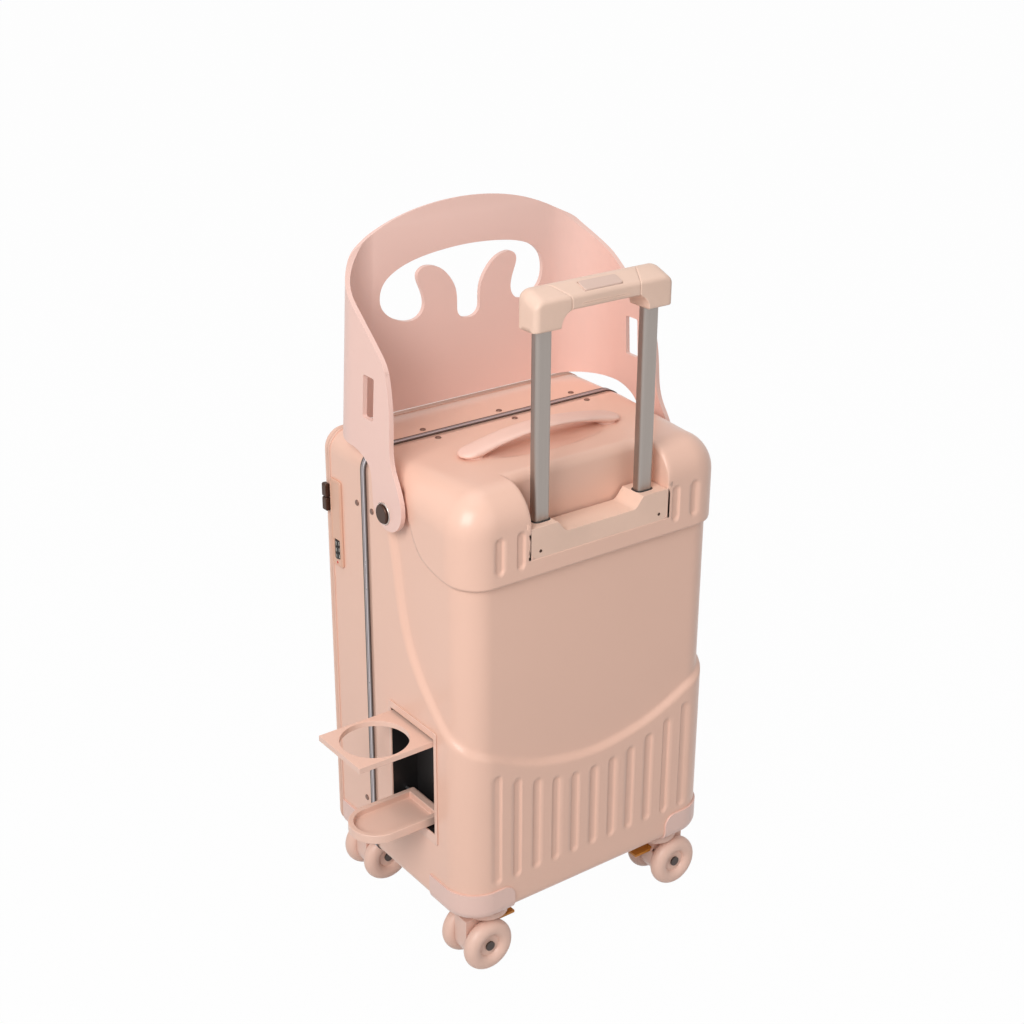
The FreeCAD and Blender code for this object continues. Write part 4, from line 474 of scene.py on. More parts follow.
# Marks of the rear skin's grid: spans of (low end, high end, step), closer where an edge crosses them
COLUMN_STEP, TURN_STEPS, ROLL_STEPS, POCKET_STEPS, FOOT_STEPS = 4.4, 22, 17, 10, 8
GROOVE_LINES = (-5.6, -4.4, -3.2, 0, 3.2, 4.4, 5.6)
BROW_Z = (448.4, 450.2, 452.0)
FACE_INSETS = (38.0, 40.0, CORNER)
SIDE_DEPTHS = ((REAR + ROLL, 20.0, 2.8), (20.0, RIM, 6.0))
UPPER_LEVELS = ((MIDDLE, 444.0, 2.8), (444.0, 474.0, 1.9), (474.0, 492.0, 3.0), (492.0, CROWN, 1.9))
LOWER_LEVELS = ((LOW + FOOT, 107.0, 6.0), (107.0, 121.0, 2.0), (121.0, 199.0, 8.0), (199.0, MIDDLE, 2.2))


def wave(x):
    """Height of the wave on the rear face: a shallow bowl that keeps rising round the corners."""
    return WAVE_LOW + WAVE_RISE * (np.minimum(np.abs(x), WAVE_HALF) / WAVE_HALF) ** 2


def unrolled(points):
    """Distance along the case from the middle of the rear face, round the corner roll and along the side."""
    across = np.abs(points[:, 0]) - (HALF - ROLL)
    ahead = points[:, 1] - (REAR + ROLL)
    turn = np.clip(np.arctan2(np.maximum(across, 0), np.maximum(-ahead, 1e-9)), 0, np.pi / 2)
    return np.where(across <= 0, np.abs(points[:, 0]), HALF - ROLL + ROLL * turn + np.maximum(ahead, 0))


def groove_depth(x, z, middle, low, high):
    """Depth of an upright groove with round ends, by a smooth step over the distance from its edge."""
    past = np.maximum(low + GROOVE_HALF - z, z - (high - GROOVE_HALF))
    reach = np.hypot(x - middle, np.maximum(past, 0))
    return GROOVE_DEEP * step_up((GROOVE_HALF - reach) / GROOVE_EDGE)


def inset(points):
    """Depth of the recessed panel, the grooves and the finger scoop on top, by smooth steps over distance."""
    x, y, z = points.T
    flat = np.column_stack([unrolled(points), z])
    ledge = step_up(side_of(flat, LOWER_EDGE) / LEDGE_WIDE)
    brow = step_up(-side_of(flat, UPPER_EDGE) / BROW_WIDE)
    depth = RECESS * ledge * brow * step_up((PANEL_TOP - z) / PANEL_FADE)
    rear = np.where(y < REAR + REAR_ZONE, 1.0, 0.0)
    grooves = [(middle, GROOVE_FOOT, wave(middle) - GROOVE_HEAD) for middle in GROOVE_X]
    grooves += [(middle, UPPER_FOOT, UPPER_HEAD) for middle in UPPER_GROOVE_X]
    for groove in grooves:
        depth = np.maximum(depth, rear * groove_depth(x, z, *groove))
    scoop = step_up((1 - np.hypot(x / SCOOP_HALF_X, (y - SCOOP_Y) / SCOOP_HALF_Y)) / SCOOP_EDGE)
    return np.maximum(depth, np.where(z > HIGH - TOP_ZONE, SCOOP_DEEP * scoop, 0.0))


def marks(low, high, step, extra):
    """Even marks between two ends, with given marks put in and near neighbours dropped."""
    even = np.linspace(low, high, int(round((high - low) / step)) + 1)
    extra = np.array([e for e in extra if low < e < high])
    keep = np.array([np.abs(extra - e).min() > 0.6 if len(extra) else True for e in even])
    keep[[0, -1]] = True
    return np.unique(np.concatenate([even[keep], extra]))


def graded(spans, extra):
    """Marks over spans of (low end, high end, step) that follow each other."""
    return np.unique(np.concatenate([marks(*span, extra) for span in spans]))


def pocket_wall(rim):
    """The trolley pocket: from each rim point a quarter roll into an upright wall with round corners."""
    x, y = np.abs(rim[:, 0]), rim[:, 1]
    corner_x, corner_y = POCKET_HALF - POCKET_TURN, POCKET_BACK - POCKET_TURN
    on_back = y >= POCKET_LINE - 1e-6
    back_share = 1 + np.clip((POCKET_RIM - x) / (POCKET_RIM - corner_x), 0, 1)
    side_share = np.clip((y - corner_y) / (POCKET_LINE - corner_y), 0, 1)
    bend = np.where(on_back, back_share, side_share) * np.pi / 4
    plan_x = np.where(on_back & (x < corner_x), x, corner_x + POCKET_TURN * np.cos(bend))
    plan_y = np.where(~on_back & (y < corner_y), y, corner_y + POCKET_TURN * np.sin(bend))
    plan = np.column_stack([np.sign(rim[:, 0]) * plan_x, plan_y])
    size = np.hypot(*(rim[:, :2] - plan).T)
    over = np.linspace(0, np.pi / 2, POCKET_STEPS)[:, None]
    flat = plan[None] + (rim[:, :2] - plan)[None] * (1 - np.sin(over))[..., None]
    height = np.maximum(rim[:, 2] - size * (1 - np.cos(over)), SEAT_LOW)
    rolled = np.concatenate([flat, height[..., None]], axis=-1)
    fall = np.linspace(0, 1, 6)[1:, None]
    wall = stacked(plan[:, 0], plan[:, 1], height[-1] * (1 - fall) + SEAT_LOW * fall)
    return np.concatenate([rolled, wall])


def corner_reach(angle, radius):
    """Distance to the outline and its facing, along rays from the corner's inner point: sides and an arc."""
    across, up = np.abs(np.cos(angle)), np.sin(angle)
    shift = CORNER - radius
    arc = np.minimum(across, up) * CORNER > shift * np.maximum(across, up)
    on_arc = shift * (across + up) + np.sqrt(np.maximum(radius ** 2 - (shift * (across - up)) ** 2, 0))
    reach = np.where(arc, on_arc, CORNER / np.maximum(across, up))
    face_x = np.where(arc, (reach * across - shift) / radius, across >= up)
    face_z = np.where(arc, (reach * up - shift) / radius, across < up)
    return reach, np.sign(np.cos(angle)) * face_x, face_z


def rear_lines():
    """The rear skin's columns and levels, and its rows from rim to rear face as place, inset and tilt."""
    grooves = np.concatenate([row + line for row in (GROOVE_X, UPPER_GROOVE_X) for line in GROOVE_LINES])
    seats = [-POCKET_RIM, -SEAT_HALF, SEAT_HALF, POCKET_RIM]
    columns = marks(-INNER, INNER, COLUMN_STEP, np.concatenate([grooves, seats]))
    levels = graded(UPPER_LEVELS, [SEAT_LOW, *BROW_Z])
    depth = graded(SIDE_DEPTHS, [POCKET_LINE, *CUP_OPENING[:2]])[::-1]
    roll = np.linspace(0, np.pi / 2, ROLL_STEPS)[1:]
    level = np.zeros(len(depth))
    y = np.concatenate([depth, REAR + ROLL - ROLL * np.sin(roll), np.full(len(FACE_INSETS), REAR)])
    inward = np.concatenate([level, ROLL * (1 - np.cos(roll)), FACE_INSETS])
    tilt = np.concatenate([level, roll, np.full(len(FACE_INSETS), np.pi / 2)])
    return columns, levels, y, inward, tilt


def rear_dome(columns, levels, y, inward, tilt):
    """The upper outline carried back and round the roll, with the facing of its points."""
    turn = np.linspace(0, np.pi / 2, TURN_STEPS)[1:-1]

    def along(upright, bend, flat):
        """Values up the right side, round its corner, across, round the left corner and down."""
        return np.concatenate([upright(levels, 1), bend(turn, 1), flat(columns[::-1]),
                               bend(turn, -1), upright(levels[::-1], -1)])

    def at_side(values, side):
        return np.full_like(values, side * INNER)

    at_x = along(at_side, at_side, lambda v: v)
    at_z = along(lambda v, side: v, lambda v, side: np.full_like(v, CROWN), lambda v: np.full_like(v, CROWN))
    angle = along(lambda v, side: np.full_like(v, np.pi / 2 - side * np.pi / 2),
                  lambda v, side: v + np.pi / 4 - side * np.pi / 4, lambda v: np.full_like(v, np.pi / 2))
    radius = np.interp(y, [REAR + CORNER, LEVEL], [CORNER, RIM_CORNER])
    reach, face_x, face_z = corner_reach(angle, radius[:, None])
    reach = reach - inward[:, None]
    upright, back = np.cos(tilt)[:, None], -np.sin(tilt)[:, None]
    dome = stacked(at_x + reach * np.cos(angle), y[:, None], at_z + reach * np.sin(angle))
    return dome, stacked(upright * face_x, back, upright * face_z)


def rear_skirt(columns, y, inward, tilt):
    """The plan outline carried down to a small foot edge, its facing, and the underside up to the middle."""
    flat = len(columns) - 2
    plan_x = np.concatenate([HALF - inward, columns[::-1][1:-1], inward[::-1] - HALF])
    plan_y = np.concatenate([y, np.full(flat, REAR), y[::-1]])
    facing = np.concatenate([tilt, np.full(flat, np.pi / 2), np.pi - tilt[::-1]])
    straight = graded(LOWER_LEVELS, CUP_OPENING[2:])[::-1]
    foot = np.linspace(0, np.pi / 2, FOOT_STEPS)[1:]
    z = np.concatenate([straight, LOW + FOOT - FOOT * np.sin(foot)])[:, None]
    tuck = np.concatenate([np.zeros_like(straight), FOOT * (1 - np.cos(foot))])[:, None]
    dip = np.concatenate([np.zeros_like(straight), foot])[:, None]
    skirt = stacked(plan_x - tuck * np.cos(facing), plan_y + tuck * np.sin(facing), z)
    lean = stacked(np.cos(dip) * np.cos(facing), -np.cos(dip) * np.sin(facing), -np.sin(dip))
    edge, share = skirt[-1], np.linspace(0, 1, 5)[:, None, None]
    spine = np.column_stack([np.zeros(len(edge)), np.clip(edge[:, 1], SPINE_REAR, RIM), edge[:, 2]])
    return skirt, lean, edge * (1 - share) + spine * share


def trolley_pocket(columns, y, inward):
    """The pocket's wall from its rim line, and the two cheeks that close its ends on the rear face."""
    rows = (y <= POCKET_LINE) & (inward <= ROLL + 1e-6)
    rim_y, rim_z = y[rows][::-1], (HIGH - inward)[rows][::-1]
    back = columns[np.abs(columns) <= POCKET_RIM][1:-1]
    left, right = [stacked(side * POCKET_RIM, rim_y, rim_z) for side in (-1, 1)]
    behind = stacked(back, POCKET_LINE, HIGH)
    pocket = pocket_wall(np.vstack([left, behind, right[::-1]]))
    cheeks = []
    for end in (pocket[:, 0], pocket[:, -1]):
        inner = np.vstack([end[:POCKET_STEPS], [end[POCKET_STEPS - 1, 0], REAR, CROWN]])
        outer = np.column_stack([np.full(len(inner), np.sign(inner[0, 0]) * POCKET_RIM), inner[:, 1:]])
        cheeks.append(np.stack([outer, inner], axis=1))
    return [pocket] + cheeks


def rear_skin():
    """The rear shell's outside: dome, face, skirt and underside, pressed in by the inset, and the pocket."""
    columns, levels, y, inward, tilt = rear_lines()
    dome, dome_lean = rear_dome(columns, levels, y, inward, tilt)
    skirt, skirt_lean, under = rear_skirt(columns, y, inward, tilt)
    face = stacked(columns, REAR, levels[:, None])
    outside = [(dome, dome_lean), (face, (0.0, -1.0, 0.0)), (skirt, skirt_lean), (under, (0.0, 0.0, -1.0))]
    leans = np.vstack([np.broadcast_to(lean, sheet.shape).reshape(-1, 3) for sheet, lean in outside])
    points, faces = joined([sheet for sheet, lean in outside] + trolley_pocket(columns, y, inward))
    x, y, z = points[faces].mean(1).T
    over_pocket = (np.abs(x) < POCKET_RIM) & (z > CROWN)
    over_seat = (np.abs(x) < SEAT_HALF) & (z > SEAT_LOW)
    in_pocket = (faces.max(1) < len(leans)) & (y < POCKET_LINE) & (over_pocket | over_seat)
    near, far, low, high = CUP_OPENING
    in_cup = (x < CUP_SIDE) & (y > near) & (y < far) & (z > low) & (z < high)
    points[:len(leans)] -= leans * inset(points[:len(leans)])[:, None]
    return points, faces[~(in_pocket | in_cup)]


def seat_corners():
    """Fillets in the lower corners of the housing's seat: sheets from the square corner to a quarter arc."""
    turn = np.linspace(0, np.pi / 2, 11)
    middle = np.array([SEAT_HALF - SEAT_TURN, SEAT_LOW + SEAT_TURN])
    arc = np.column_stack([np.cos(turn), -np.sin(turn)])
    square = arc / np.abs(arc).max(1)[:, None]
    x, z = (middle + SEAT_TURN * np.stack([square, arc])).transpose(2, 0, 1)
    left = stacked(-x, REAR, z)
    return [left, (left * (-1, 1, 1))[:, ::-1]]


def walled(piece):
    """Gives a sheet the wall thickness of the shell, on its inner side."""
    thick = piece.modifiers.new("wall", "SOLIDIFY")
    thick.thickness = WALL * MM
    thick.offset = -1


mesh = raw_mesh("rear_skin", *rear_skin())
weld(mesh)
walled(show("rear_skin", mesh, "case", shell_skin, stands_for=("rear_shell",), slot="shell"))
mesh = raw_mesh("seat_corners", *joined(seat_corners()))
walled(show("seat_corners", mesh, "case", shell_skin, slot="shell"))


# Rounded edges on the smaller mouldings: node, body, finish, width and segments

SOFT = [
    ("guard", "guard", guard_skin, 1.7, 3), ("trolley_housing", "case", housing_skin, 1.0, 3),
    ("cup_plate", "plate", cup_skin, 1.2, 3), ("cup_tray", "tray", cup_skin, 1.0, 3),
    ("cup_bezel", "case", cup_skin, 0.6, 2), ("lock_plate", "case", lock_skin, 0.6, 3),
    ("zip_pull_upper", "zip_upper", bronze, 1.0, 3), ("zip_pull_lower", "zip_lower", bronze, 1.0, 3),
    ("grip_button", "button", button_skin, 0.9, 3), ("pivot_bolts", "case", bronze, 1.3, 4),
]
SOFT += [("bracket_" + corner, "case", bracket_skin, 0.8, 3) for corner in CORNERS]
SOFT += [("fork_" + corner, "fork_" + corner, fork_skin, 1.2, 3) for corner in CORNERS]
SOFT += [("brake_" + corner, "brake_" + corner, brake_skin, 0.7, 3) for corner in CORNERS[:2]]
for node, body, finish, width, segments in SOFT:
    softened(node, body, finish, width, segments)


# Carry strap

STRAP_HALF, STRAP_TIP, STRAP_FREE, STRAP_WIDE = 100.0, 13.0, 80.0, 13.0
STRAP_Y, STRAP_TOP, STRAP_BASE, STRAP_BOW = -25.0, 551.0, 546.0, 12.4
STUD_X, STUD = 84.0, [(0, 530.5), (8, 530.5), (8, 533), (5, 533), (5, 550), (0, 550)]


def strap_form():
    """A flat oval section along a bow: full in the middle, thin and wide at the tips that lie on the case."""
    x = STRAP_HALF * np.sin(np.linspace(-np.pi / 2, np.pi / 2, 91))
    past = np.maximum(np.abs(x) - (STRAP_HALF - STRAP_TIP), 0)
    tip = np.sqrt(np.maximum(1 - (past / STRAP_TIP) ** 2, 0))
    top = STRAP_TOP + STRAP_BOW * (1 - (x / STRAP_HALF) ** 2)
    base = STRAP_BASE + STRAP_BOW * np.maximum(1 - (x / STRAP_FREE) ** 2, 0)
    turn = np.linspace(0, 2 * np.pi, 37)[:-1]
    across = np.sign(np.cos(turn)) * np.abs(np.cos(turn)) ** 0.6
    rise = np.sign(np.sin(turn)) * np.abs(np.sin(turn)) ** 0.85
    middle, half = (top + base) / 2, (top - base) / 2 * tip ** 0.5
    y, z = STRAP_Y + STRAP_WIDE * tip[:, None] * across, middle[:, None] + half[:, None] * rise
    studs = [turned(STUD, (side * STUD_X, STRAP_Y, 0), (0, 0, 1), 40) for side in (-1, 1)]
    return [closed(grid) for grid in [stacked(x[:, None], y, z)] + studs]


sheets_of("strap", strap_form(), "strap", strap_skin, stands_for=("carry_strap",), slot="strap")


# Trolley grip

GRIP_HALF, GRIP_LOW, GRIP_BRIDGE, GRIP_HIGH = 83.0, 695.0, 711.0, 732.0
GRIP_BACK, GRIP_FRONT, GRIP_KNEE, GRIP_EDGE = -94.0, -124.0, -104.0, 724.0
GRIP_ARM, GRIP_SIDE, GRIP_CROWN, GRIP_TURNS = 30.0, 6.0, 12.0, (2.0, 5.0, 12.0, 5.5, 2.0)
BUTTON_HALF, BUTTON_NEAR, BUTTON_FAR, BUTTON_WELL = 23.4, -120.4, -106.6, 8.0
SEAM_AT, SEAM_SLANT, SEAM_RUN, SEAM_HALF, SEAM_DEEP = 41.0, 14.0, 27.0, 0.9, 1.2


def grip_loop():
    """The grip's section of five corners with arcs: each point's corner, its offset and its facing."""
    corner = np.array([(GRIP_FRONT, GRIP_BRIDGE), (GRIP_FRONT, GRIP_EDGE), (GRIP_KNEE, GRIP_HIGH),
                       (GRIP_BACK, GRIP_HIGH), (GRIP_BACK, GRIP_BRIDGE)])
    ahead = np.roll(corner, -1, axis=0) - corner
    ahead /= np.linalg.norm(ahead, axis=1)[:, None]
    which, offset, facing = [], [], []
    for k, radius in enumerate(GRIP_TURNS):
        into, out = ahead[k - 1], ahead[k]
        bend = math.acos(np.clip(into @ out, -1, 1))
        angle = np.arctan2(into[1], into[0]) - np.linspace(0, bend, 7)
        normal = np.column_stack([-np.sin(angle), np.cos(angle)])
        centre = -into * radius * math.tan(bend / 2) + radius * np.array([into[1], -into[0]])
        which.append(np.full(7, k))
        offset.append(centre + radius * normal)
        facing.append(normal)
    return corner, np.array(which), np.array(offset), np.array(facing)


def round_inset(distance, radius):
    """Inset of a quarter round by the distance past its start."""
    return radius - np.sqrt(radius ** 2 - np.clip(distance, 0, radius) ** 2)


def grip_form():
    """The grip: sections along X whose foot drops by a quarter arc at each end, with round tips."""
    corner, which, offset, facing = grip_loop()
    fine = np.arange(SEAM_AT - 2.5, SEAM_AT + 19, 0.45)
    x = marks(-GRIP_HALF, GRIP_HALF, 2.0, np.concatenate([-fine, fine, [-BUTTON_HALF, BUTTON_HALF]]))
    tip = GRIP_HALF - GRIP_CROWN * (1 - np.cos(np.linspace(0, np.pi / 2, 14)))
    x = np.unique(np.concatenate([x[np.abs(x) < GRIP_HALF - GRIP_CROWN], tip, -tip]))
    drop = GRIP_BRIDGE - GRIP_LOW
    past = np.clip(np.abs(x) - (GRIP_HALF - GRIP_ARM - drop), 0, drop)
    foot = GRIP_BRIDGE - drop + np.sqrt(np.maximum(drop ** 2 - past ** 2, 0))
    place = np.broadcast_to(corner, (len(x), 5, 2)).copy()
    place[:, 0, 1] = place[:, 4, 1] = foot
    arcs = place[:, which] + offset
    runs, leans = [], []
    for k in range(5):
        start, end = arcs[:, k, -1], arcs[:, (k + 1) % 5, 0]
        share = np.linspace(0, 1, 14)[1:-1]
        if k == 1:
            edge = (np.array([BUTTON_NEAR, BUTTON_FAR]) - start[0, 0]) / (end[0, 0] - start[0, 0])
            share = np.linspace(edge[0], edge[1], 12)
        runs += [arcs[:, k], start[:, None] + (end - start)[:, None] * share[None, :, None]]
        leans += [facing[k], np.broadcast_to(facing[k, -1], (len(share), 2))]
    loop, lean = np.concatenate(runs, axis=1), np.concatenate(leans)
    far = np.abs(x)[:, None]
    slant = SEAM_AT + SEAM_SLANT * np.clip((loop[..., 0] - GRIP_FRONT) / SEAM_RUN, 0, 1.2)
    groove = SEAM_DEEP * (1 - step_up(np.abs(far - slant) / SEAM_HALF)) * (loop[..., 1] > GRIP_BRIDGE - 1)
    loop = loop - groove[..., None] * lean
    side_in = round_inset(far - (GRIP_HALF - GRIP_SIDE), GRIP_SIDE)
    top_in = round_inset(far - (GRIP_HALF - GRIP_CROWN), GRIP_CROWN)
    middle, half = (GRIP_BACK + GRIP_FRONT) / 2, (GRIP_BACK - GRIP_FRONT) / 2
    height = np.clip((loop[..., 1] - foot[:, None]) / (GRIP_HIGH - foot[:, None]), 0, 1)
    y = middle + (loop[..., 0] - middle) * (1 - side_in / half)
    body = stacked(x[:, None], y, loop[..., 1] - top_in * height)
    caps = []
    for end in (body[0], body[-1]):
        centre = end.mean(0)
        caps.append(centre + (end - centre) * np.linspace(1, 0, 4)[:, None, None])
    well = np.array([(BUTTON_HALF, BUTTON_NEAR), (BUTTON_HALF, BUTTON_FAR), (-BUTTON_HALF, BUTTON_FAR),
                     (-BUTTON_HALF, BUTTON_NEAR), (BUTTON_HALF, BUTTON_NEAR)])
    rise = GRIP_EDGE + (well[:, 1] - GRIP_FRONT) * (GRIP_HIGH - GRIP_EDGE) / (GRIP_KNEE - GRIP_FRONT)
    floor_z = np.full(len(well), GRIP_EDGE - BUTTON_WELL)
    wall = np.stack([np.column_stack([well, rise]), np.column_stack([well, floor_z])])
    return [closed(grid) for grid in [body] + caps] + [wall]


points, faces = joined(grip_form())
x, y, z = points[faces].mean(1).T
over_button = (np.abs(x) < BUTTON_HALF) & (y > BUTTON_NEAR) & (y < BUTTON_FAR) & (z > GRIP_EDGE)
mesh = raw_mesh("grip", points, faces[~over_button])
weld(mesh)
show("grip", mesh, "trolley", grip_skin, stands_for=("grip_body", "grip_cover"), slot="grip")


# Beads, rings and marks

BEAD_SUNK, BEAD_HIGH, BEAD_HALF = -0.3, 1.4, 1.15
SLOT_Z, SLOT_SIZE, SLOT_THICK = 715.4, (29, 1.0, 0.9), 0.3
BORDER_GAPS, BORDER_HALF, BORDER_TURN, BORDER_THICK = (1.4, 2.5), 10.5, 3.2, 0.3
DOT_UP, DOT = 4.6, [(0, 0.5), (0.9, 0.45), (1.5, 0.1), (1.6, -0.3)]
NUMERAL_HALF, NUMERAL_TALL, STROKE_HALF, NUMERAL_LIFT = 0.8, 1.7, 0.2, 0.04
BOLT_Z, BOLT_HEAD = 497, 3.4
BOLT_RING = [(10.1, -1.2), (10.1, 0.5), (10.5, 1.0), (11.2, 1.0), (11.7, 0.5), (11.8, -1.2)]
COLLAR_AT, COLLAR_SIZE, COLLAR_THICK = (65, -109, 502), (9.9, 6.9, 4.6), 0.7
SCREW_AT, SCREW = (75, -125, 477), [(0, 0.1), (0.7, 0.1), (0.8, 0.3), (1.5, 0.3), (1.7, 0.1), (1.7, -0.5)]

# Strokes of a numeral as middle and half size, and the strokes that make the numerals 0 to 9
STROKES = np.array([(0, 1, 1, 0), (1, 0.5, 0, 0.5), (1, -0.5, 0, 0.5), (0, -1, 1, 0), (-1, -0.5, 0, 0.5),
                    (-1, 0.5, 0, 0.5), (0, 0, 1, 0)])
NUMERALS = ((0, 1, 2, 3, 4, 5), (1, 2), (0, 1, 6, 4, 3), (0, 1, 6, 2, 3), (5, 6, 1, 2), (0, 5, 6, 2, 3),
            (0, 5, 6, 4, 3, 2), (0, 1, 2), (0, 1, 2, 3, 4, 5, 6), (0, 1, 5, 6, 2, 3))


def rounded_loop(half_a, half_b, radius, steps=7):
    """Points and outward directions round a rectangle with round corners."""
    turn = (np.arange(4)[:, None] * np.pi / 2 + np.linspace(0, np.pi / 2, steps)).ravel()
    facing = np.column_stack([np.cos(turn), np.sin(turn)])
    corner = np.repeat([(1, 1), (-1, 1), (-1, -1), (1, -1)], steps, axis=0)
    return corner * (half_a - radius, half_b - radius) + radius * facing, facing


def bead(centre, along, across, size, thick, steps=10):
    """A round cord laid along a rounded rectangle in the plane of two directions."""
    loop, facing = rounded_loop(*size)
    along, across = np.asarray(along, float), np.asarray(across, float)
    turn = np.linspace(0, 2 * np.pi, steps, endpoint=False)
    spread_out = loop[:, None, :] + thick * np.cos(turn)[None, :, None] * facing[:, None, :]
    rise = thick * np.sin(turn)[None, :, None] * np.cross(along, across)
    grid = np.asarray(centre, float) + spread_out[..., :1] * along + spread_out[..., 1:] * across + rise
    return closed(np.concatenate([grid, grid[:1]]))


def millimetres(node):
    """The two far corners of a solid's box."""
    return [np.array(corner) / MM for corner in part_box(node)]


def case_loop(out, steps=9):
    """The case's outline at the joint, moved outwards: an arc at each corner and straight runs between."""
    turn = np.linspace(0, np.pi / 2, steps)
    quarters = ((1, HIGH, RIM_CORNER), (-1, HIGH, RIM_CORNER), (-1, LOW, FOOT), (1, LOW, FOOT))
    arcs = []
    for quarter, (side, edge, r) in enumerate(quarters):
        angle = turn + quarter * np.pi / 2
        middle = edge - r if edge == HIGH else edge + r
        arcs.append(np.column_stack([side * (HALF - r) + (r + out) * np.cos(angle),
                                     middle + (r + out) * np.sin(angle)]))
    return np.vstack(arcs)


def numerals(low, high):
    """Ten numerals round a dial: each stroke a small plate bent round its axis, by angle and height."""
    middle, radius = (low + high) / 2, (high[0] - low[0]) / 2 + NUMERAL_LIFT
    strokes = np.vstack([STROKES[list(numeral)] for numeral in NUMERALS])
    turn = np.repeat(np.pi + np.arange(10) * np.pi / 5, [len(numeral) for numeral in NUMERALS])
    across, up = NUMERAL_HALF * strokes[:, :1], NUMERAL_TALL * strokes[:, 1:2]
    wide, tall = NUMERAL_HALF * strokes[:, 2:3] + STROKE_HALF, NUMERAL_TALL * strokes[:, 3:] + STROKE_HALF
    angle = turn[:, None] + (across + wide * np.array([-1, 1, 1, -1])) / radius
    height = middle[2] + up + tall * np.array([-1, -1, 1, 1])
    points = stacked(middle[0] + radius * np.cos(angle), middle[1] + radius * np.sin(angle), height)
    return points.reshape(-1, 3), np.arange(len(strokes) * 4).reshape(-1, 4)


turn = np.linspace(0, np.pi, 9)
loops = [case_loop(BEAD_SUNK + BEAD_HIGH * rise) for rise in np.sin(turn)]
cord = np.stack([np.column_stack([loop[:, 0], np.full(len(loop), SEAM_Y - BEAD_HALF * across), loop[:, 1]])
                 for loop, across in zip(loops, np.cos(turn))])
sheets_of("strip_bead", [closed(cord)], "case", bead_metal, slot="strip")

slot = bead((0, GRIP_FRONT, SLOT_Z), (1, 0, 0), (0, 0, 1), SLOT_SIZE, SLOT_THICK)
sheets_of("grip_slot", [slot], "trolley", grip_skin, slot="grip")

low, high = millimetres("lock_plate")
lock_face, lock_y, lock_z = low[0], (low[1] + high[1]) / 2, (low[2] + high[2]) / 2
half_height = (high[2] - low[2]) / 2
border_sizes = [(BORDER_HALF - gap, half_height - gap, BORDER_TURN - gap / 2) for gap in BORDER_GAPS]
borders = [bead((lock_face, lock_y, lock_z), (0, 1, 0), (0, 0, 1), size, BORDER_THICK)
           for size in border_sizes]
sheets_of("lock_border", borders, "case", lock_skin, slot="lock")
dot = closed(turned(DOT, (lock_face, lock_y, low[2] + DOT_UP), (-1, 0, 0), 24))
sheets_of("lock_dot", [dot], "case", red_skin, slot="lock")

for dial in (1, 2, 3):
    mesh = raw_mesh("dial_numerals_%d" % dial, *numerals(*millimetres("lock_dial_%d" % dial)))
    show("dial_numerals_%d" % dial, mesh, "dial_%d" % dial, mark_skin, slot="dial")

low, high = millimetres("pivot_bolts")
rings = [closed(turned(BOLT_RING, (side * (high[0] - BOLT_HEAD), 0, BOLT_Z), (side, 0, 0), 56))
         for side in (-1, 1)]
sheets_of("bolt_rings", rings, "case", ring_metal, slot="bolt")

# Black cords round the tubes where they enter the housing: painted shade, standing for the dark gap round
# each tube.
tube_gap_shade = [bead((side * COLLAR_AT[0], *COLLAR_AT[1:]), (1, 0, 0), (0, 1, 0), COLLAR_SIZE, COLLAR_THICK)
           for side in (-1, 1)]
sheets_of("tube_gap_shade_cords", tube_gap_shade, "case", black_plastic, slot="housing")

screws = [closed(turned(SCREW, (side * SCREW_AT[0], *SCREW_AT[1:]), (0, -1, 0), 24)) for side in (-1, 1)]
sheets_of("housing_screws", screws, "case", bronze, slot="housing")


# Floor, light and camera

FLOOR_HALF, FLOOR_Z, FLOOR_MARKS, FLOOR_WHITE = 36000, -0.4, 13, 0.98
FOCAL_PIXELS, FRAME_PIXELS, SENSOR = 1699.14, 1024, 36


def seen_directly(nodes, links):
    """A value of 1 on rays from the camera or off a glossy surface, and 0 on others."""
    path = nodes.new("ShaderNodeLightPath")
    seen = nodes.new("ShaderNodeMath")
    seen.operation = "ADD"
    seen.use_clamp = True
    links.new(path.outputs["Is Camera Ray"], seen.inputs[0])
    links.new(path.outputs["Is Glossy Ray"], seen.inputs[1])
    return seen.outputs[0]


floor_paint = bpy.data.materials.new("floor_paint")
floor_paint.use_nodes = True
nodes, links = floor_paint.node_tree.nodes, floor_paint.node_tree.links
nodes.remove(nodes["Principled BSDF"])
matt = nodes.new("ShaderNodeBsdfDiffuse")
matt.inputs["Color"].default_value = (0.55, 0.55, 0.55, 1)
white = nodes.new("ShaderNodeEmission")
white.inputs["Strength"].default_value = 1.0
share = nodes.new("ShaderNodeMath")
share.operation = "MULTIPLY"
share.inputs[1].default_value = FLOOR_WHITE
links.new(seen_directly(nodes, links), share.inputs[0])
blend = nodes.new("ShaderNodeMixShader")
links.new(share.outputs[0], blend.inputs["Fac"])
links.new(matt.outputs[0], blend.inputs[1])
links.new(white.outputs[0], blend.inputs[2])
links.new(blend.outputs[0], nodes["Material Output"].inputs["Surface"])
across = np.linspace(-FLOOR_HALF, FLOOR_HALF, FLOOR_MARKS)
floor_points = stacked(across, across[:, None], FLOOR_Z).reshape(-1, 3)
floor_mesh = raw_mesh("floor", floor_points, grid_faces(FLOOR_MARKS, FLOOR_MARKS))
floor = bpy.data.objects.new("floor", floor_mesh)
floor_mesh.materials.append(floor_paint)
bpy.context.scene.collection.objects.link(floor)

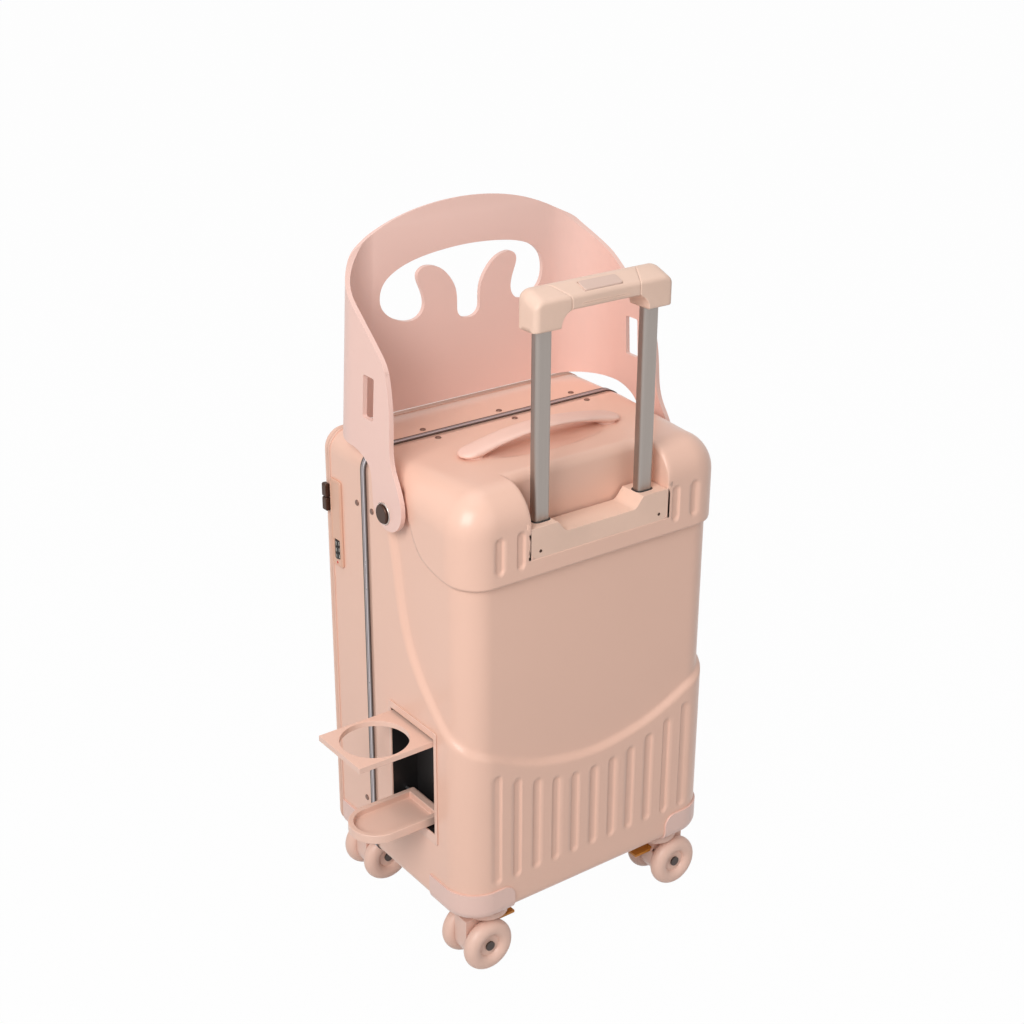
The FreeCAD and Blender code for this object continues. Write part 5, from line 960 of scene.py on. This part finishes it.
world = bpy.data.worlds.new("studio")
bpy.context.scene.world = world
world.use_nodes = True
nodes, links = world.node_tree.nodes, world.node_tree.links
ambient = nodes["Background"]
ambient.inputs["Color"].default_value = (1, 1, 1, 1)
ambient.inputs["Strength"].default_value = 0.4
backdrop = nodes.new("ShaderNodeBackground")
backdrop.inputs["Color"].default_value = (1, 1, 1, 1)
backdrop.inputs["Strength"].default_value = 1.0
choice = nodes.new("ShaderNodeMixShader")
links.new(seen_directly(nodes, links), choice.inputs["Fac"])
links.new(ambient.outputs[0], choice.inputs[1])
links.new(backdrop.outputs[0], choice.inputs[2])
links.new(choice.outputs[0], nodes["World Output"].inputs["Surface"])


def lamp(name, place, aim, size, power):
    """A rectangular lamp at a place, turned to its aim."""
    light = bpy.data.lights.new(name, "AREA")
    light.shape = "RECTANGLE"
    light.size, light.size_y = size
    light.energy = power
    holder = bpy.data.objects.new(name, light)
    holder.location = place
    holder.rotation_euler = (Vector(aim) - Vector(place)).to_track_quat("-Z", "Y").to_euler()
    bpy.context.scene.collection.objects.link(holder)


lamp("key", (-1.75, -0.95, 1.8), (0, 0, 0.42), (1.2, 1.2), 40)
lamp("fill", (0.3, -2.9, 1.6), (0, 0, 0.4), (1.6, 1.8), 6.6)
lamp("overhead", (0.1, 0.2, 2.8), (0, 0, 0.5), (1.8, 1.8), 10.6)

view = bpy.data.cameras.new("view")
view.sensor_width = SENSOR
view.sensor_fit = "HORIZONTAL"
view.lens = FOCAL_PIXELS / FRAME_PIXELS * SENSOR
camera = bpy.data.objects.new("view", view)
stand = (-0.97960616, -1.29943785, 1.16904326)
right = Vector((0.80483089, -0.59348385, 0.00491505))
down = Vector((-0.2351267, -0.3264402, -0.91550654))
ahead = Vector((0.54494282, 0.73567229, -0.40227306))
camera.matrix_world = Matrix.Translation(stand) @ Matrix((right, -down, -ahead)).transposed().to_4x4()
bpy.context.scene.collection.objects.link(camera)
bpy.context.scene.camera = camera
bpy.context.scene.view_settings.view_transform = "Standard"
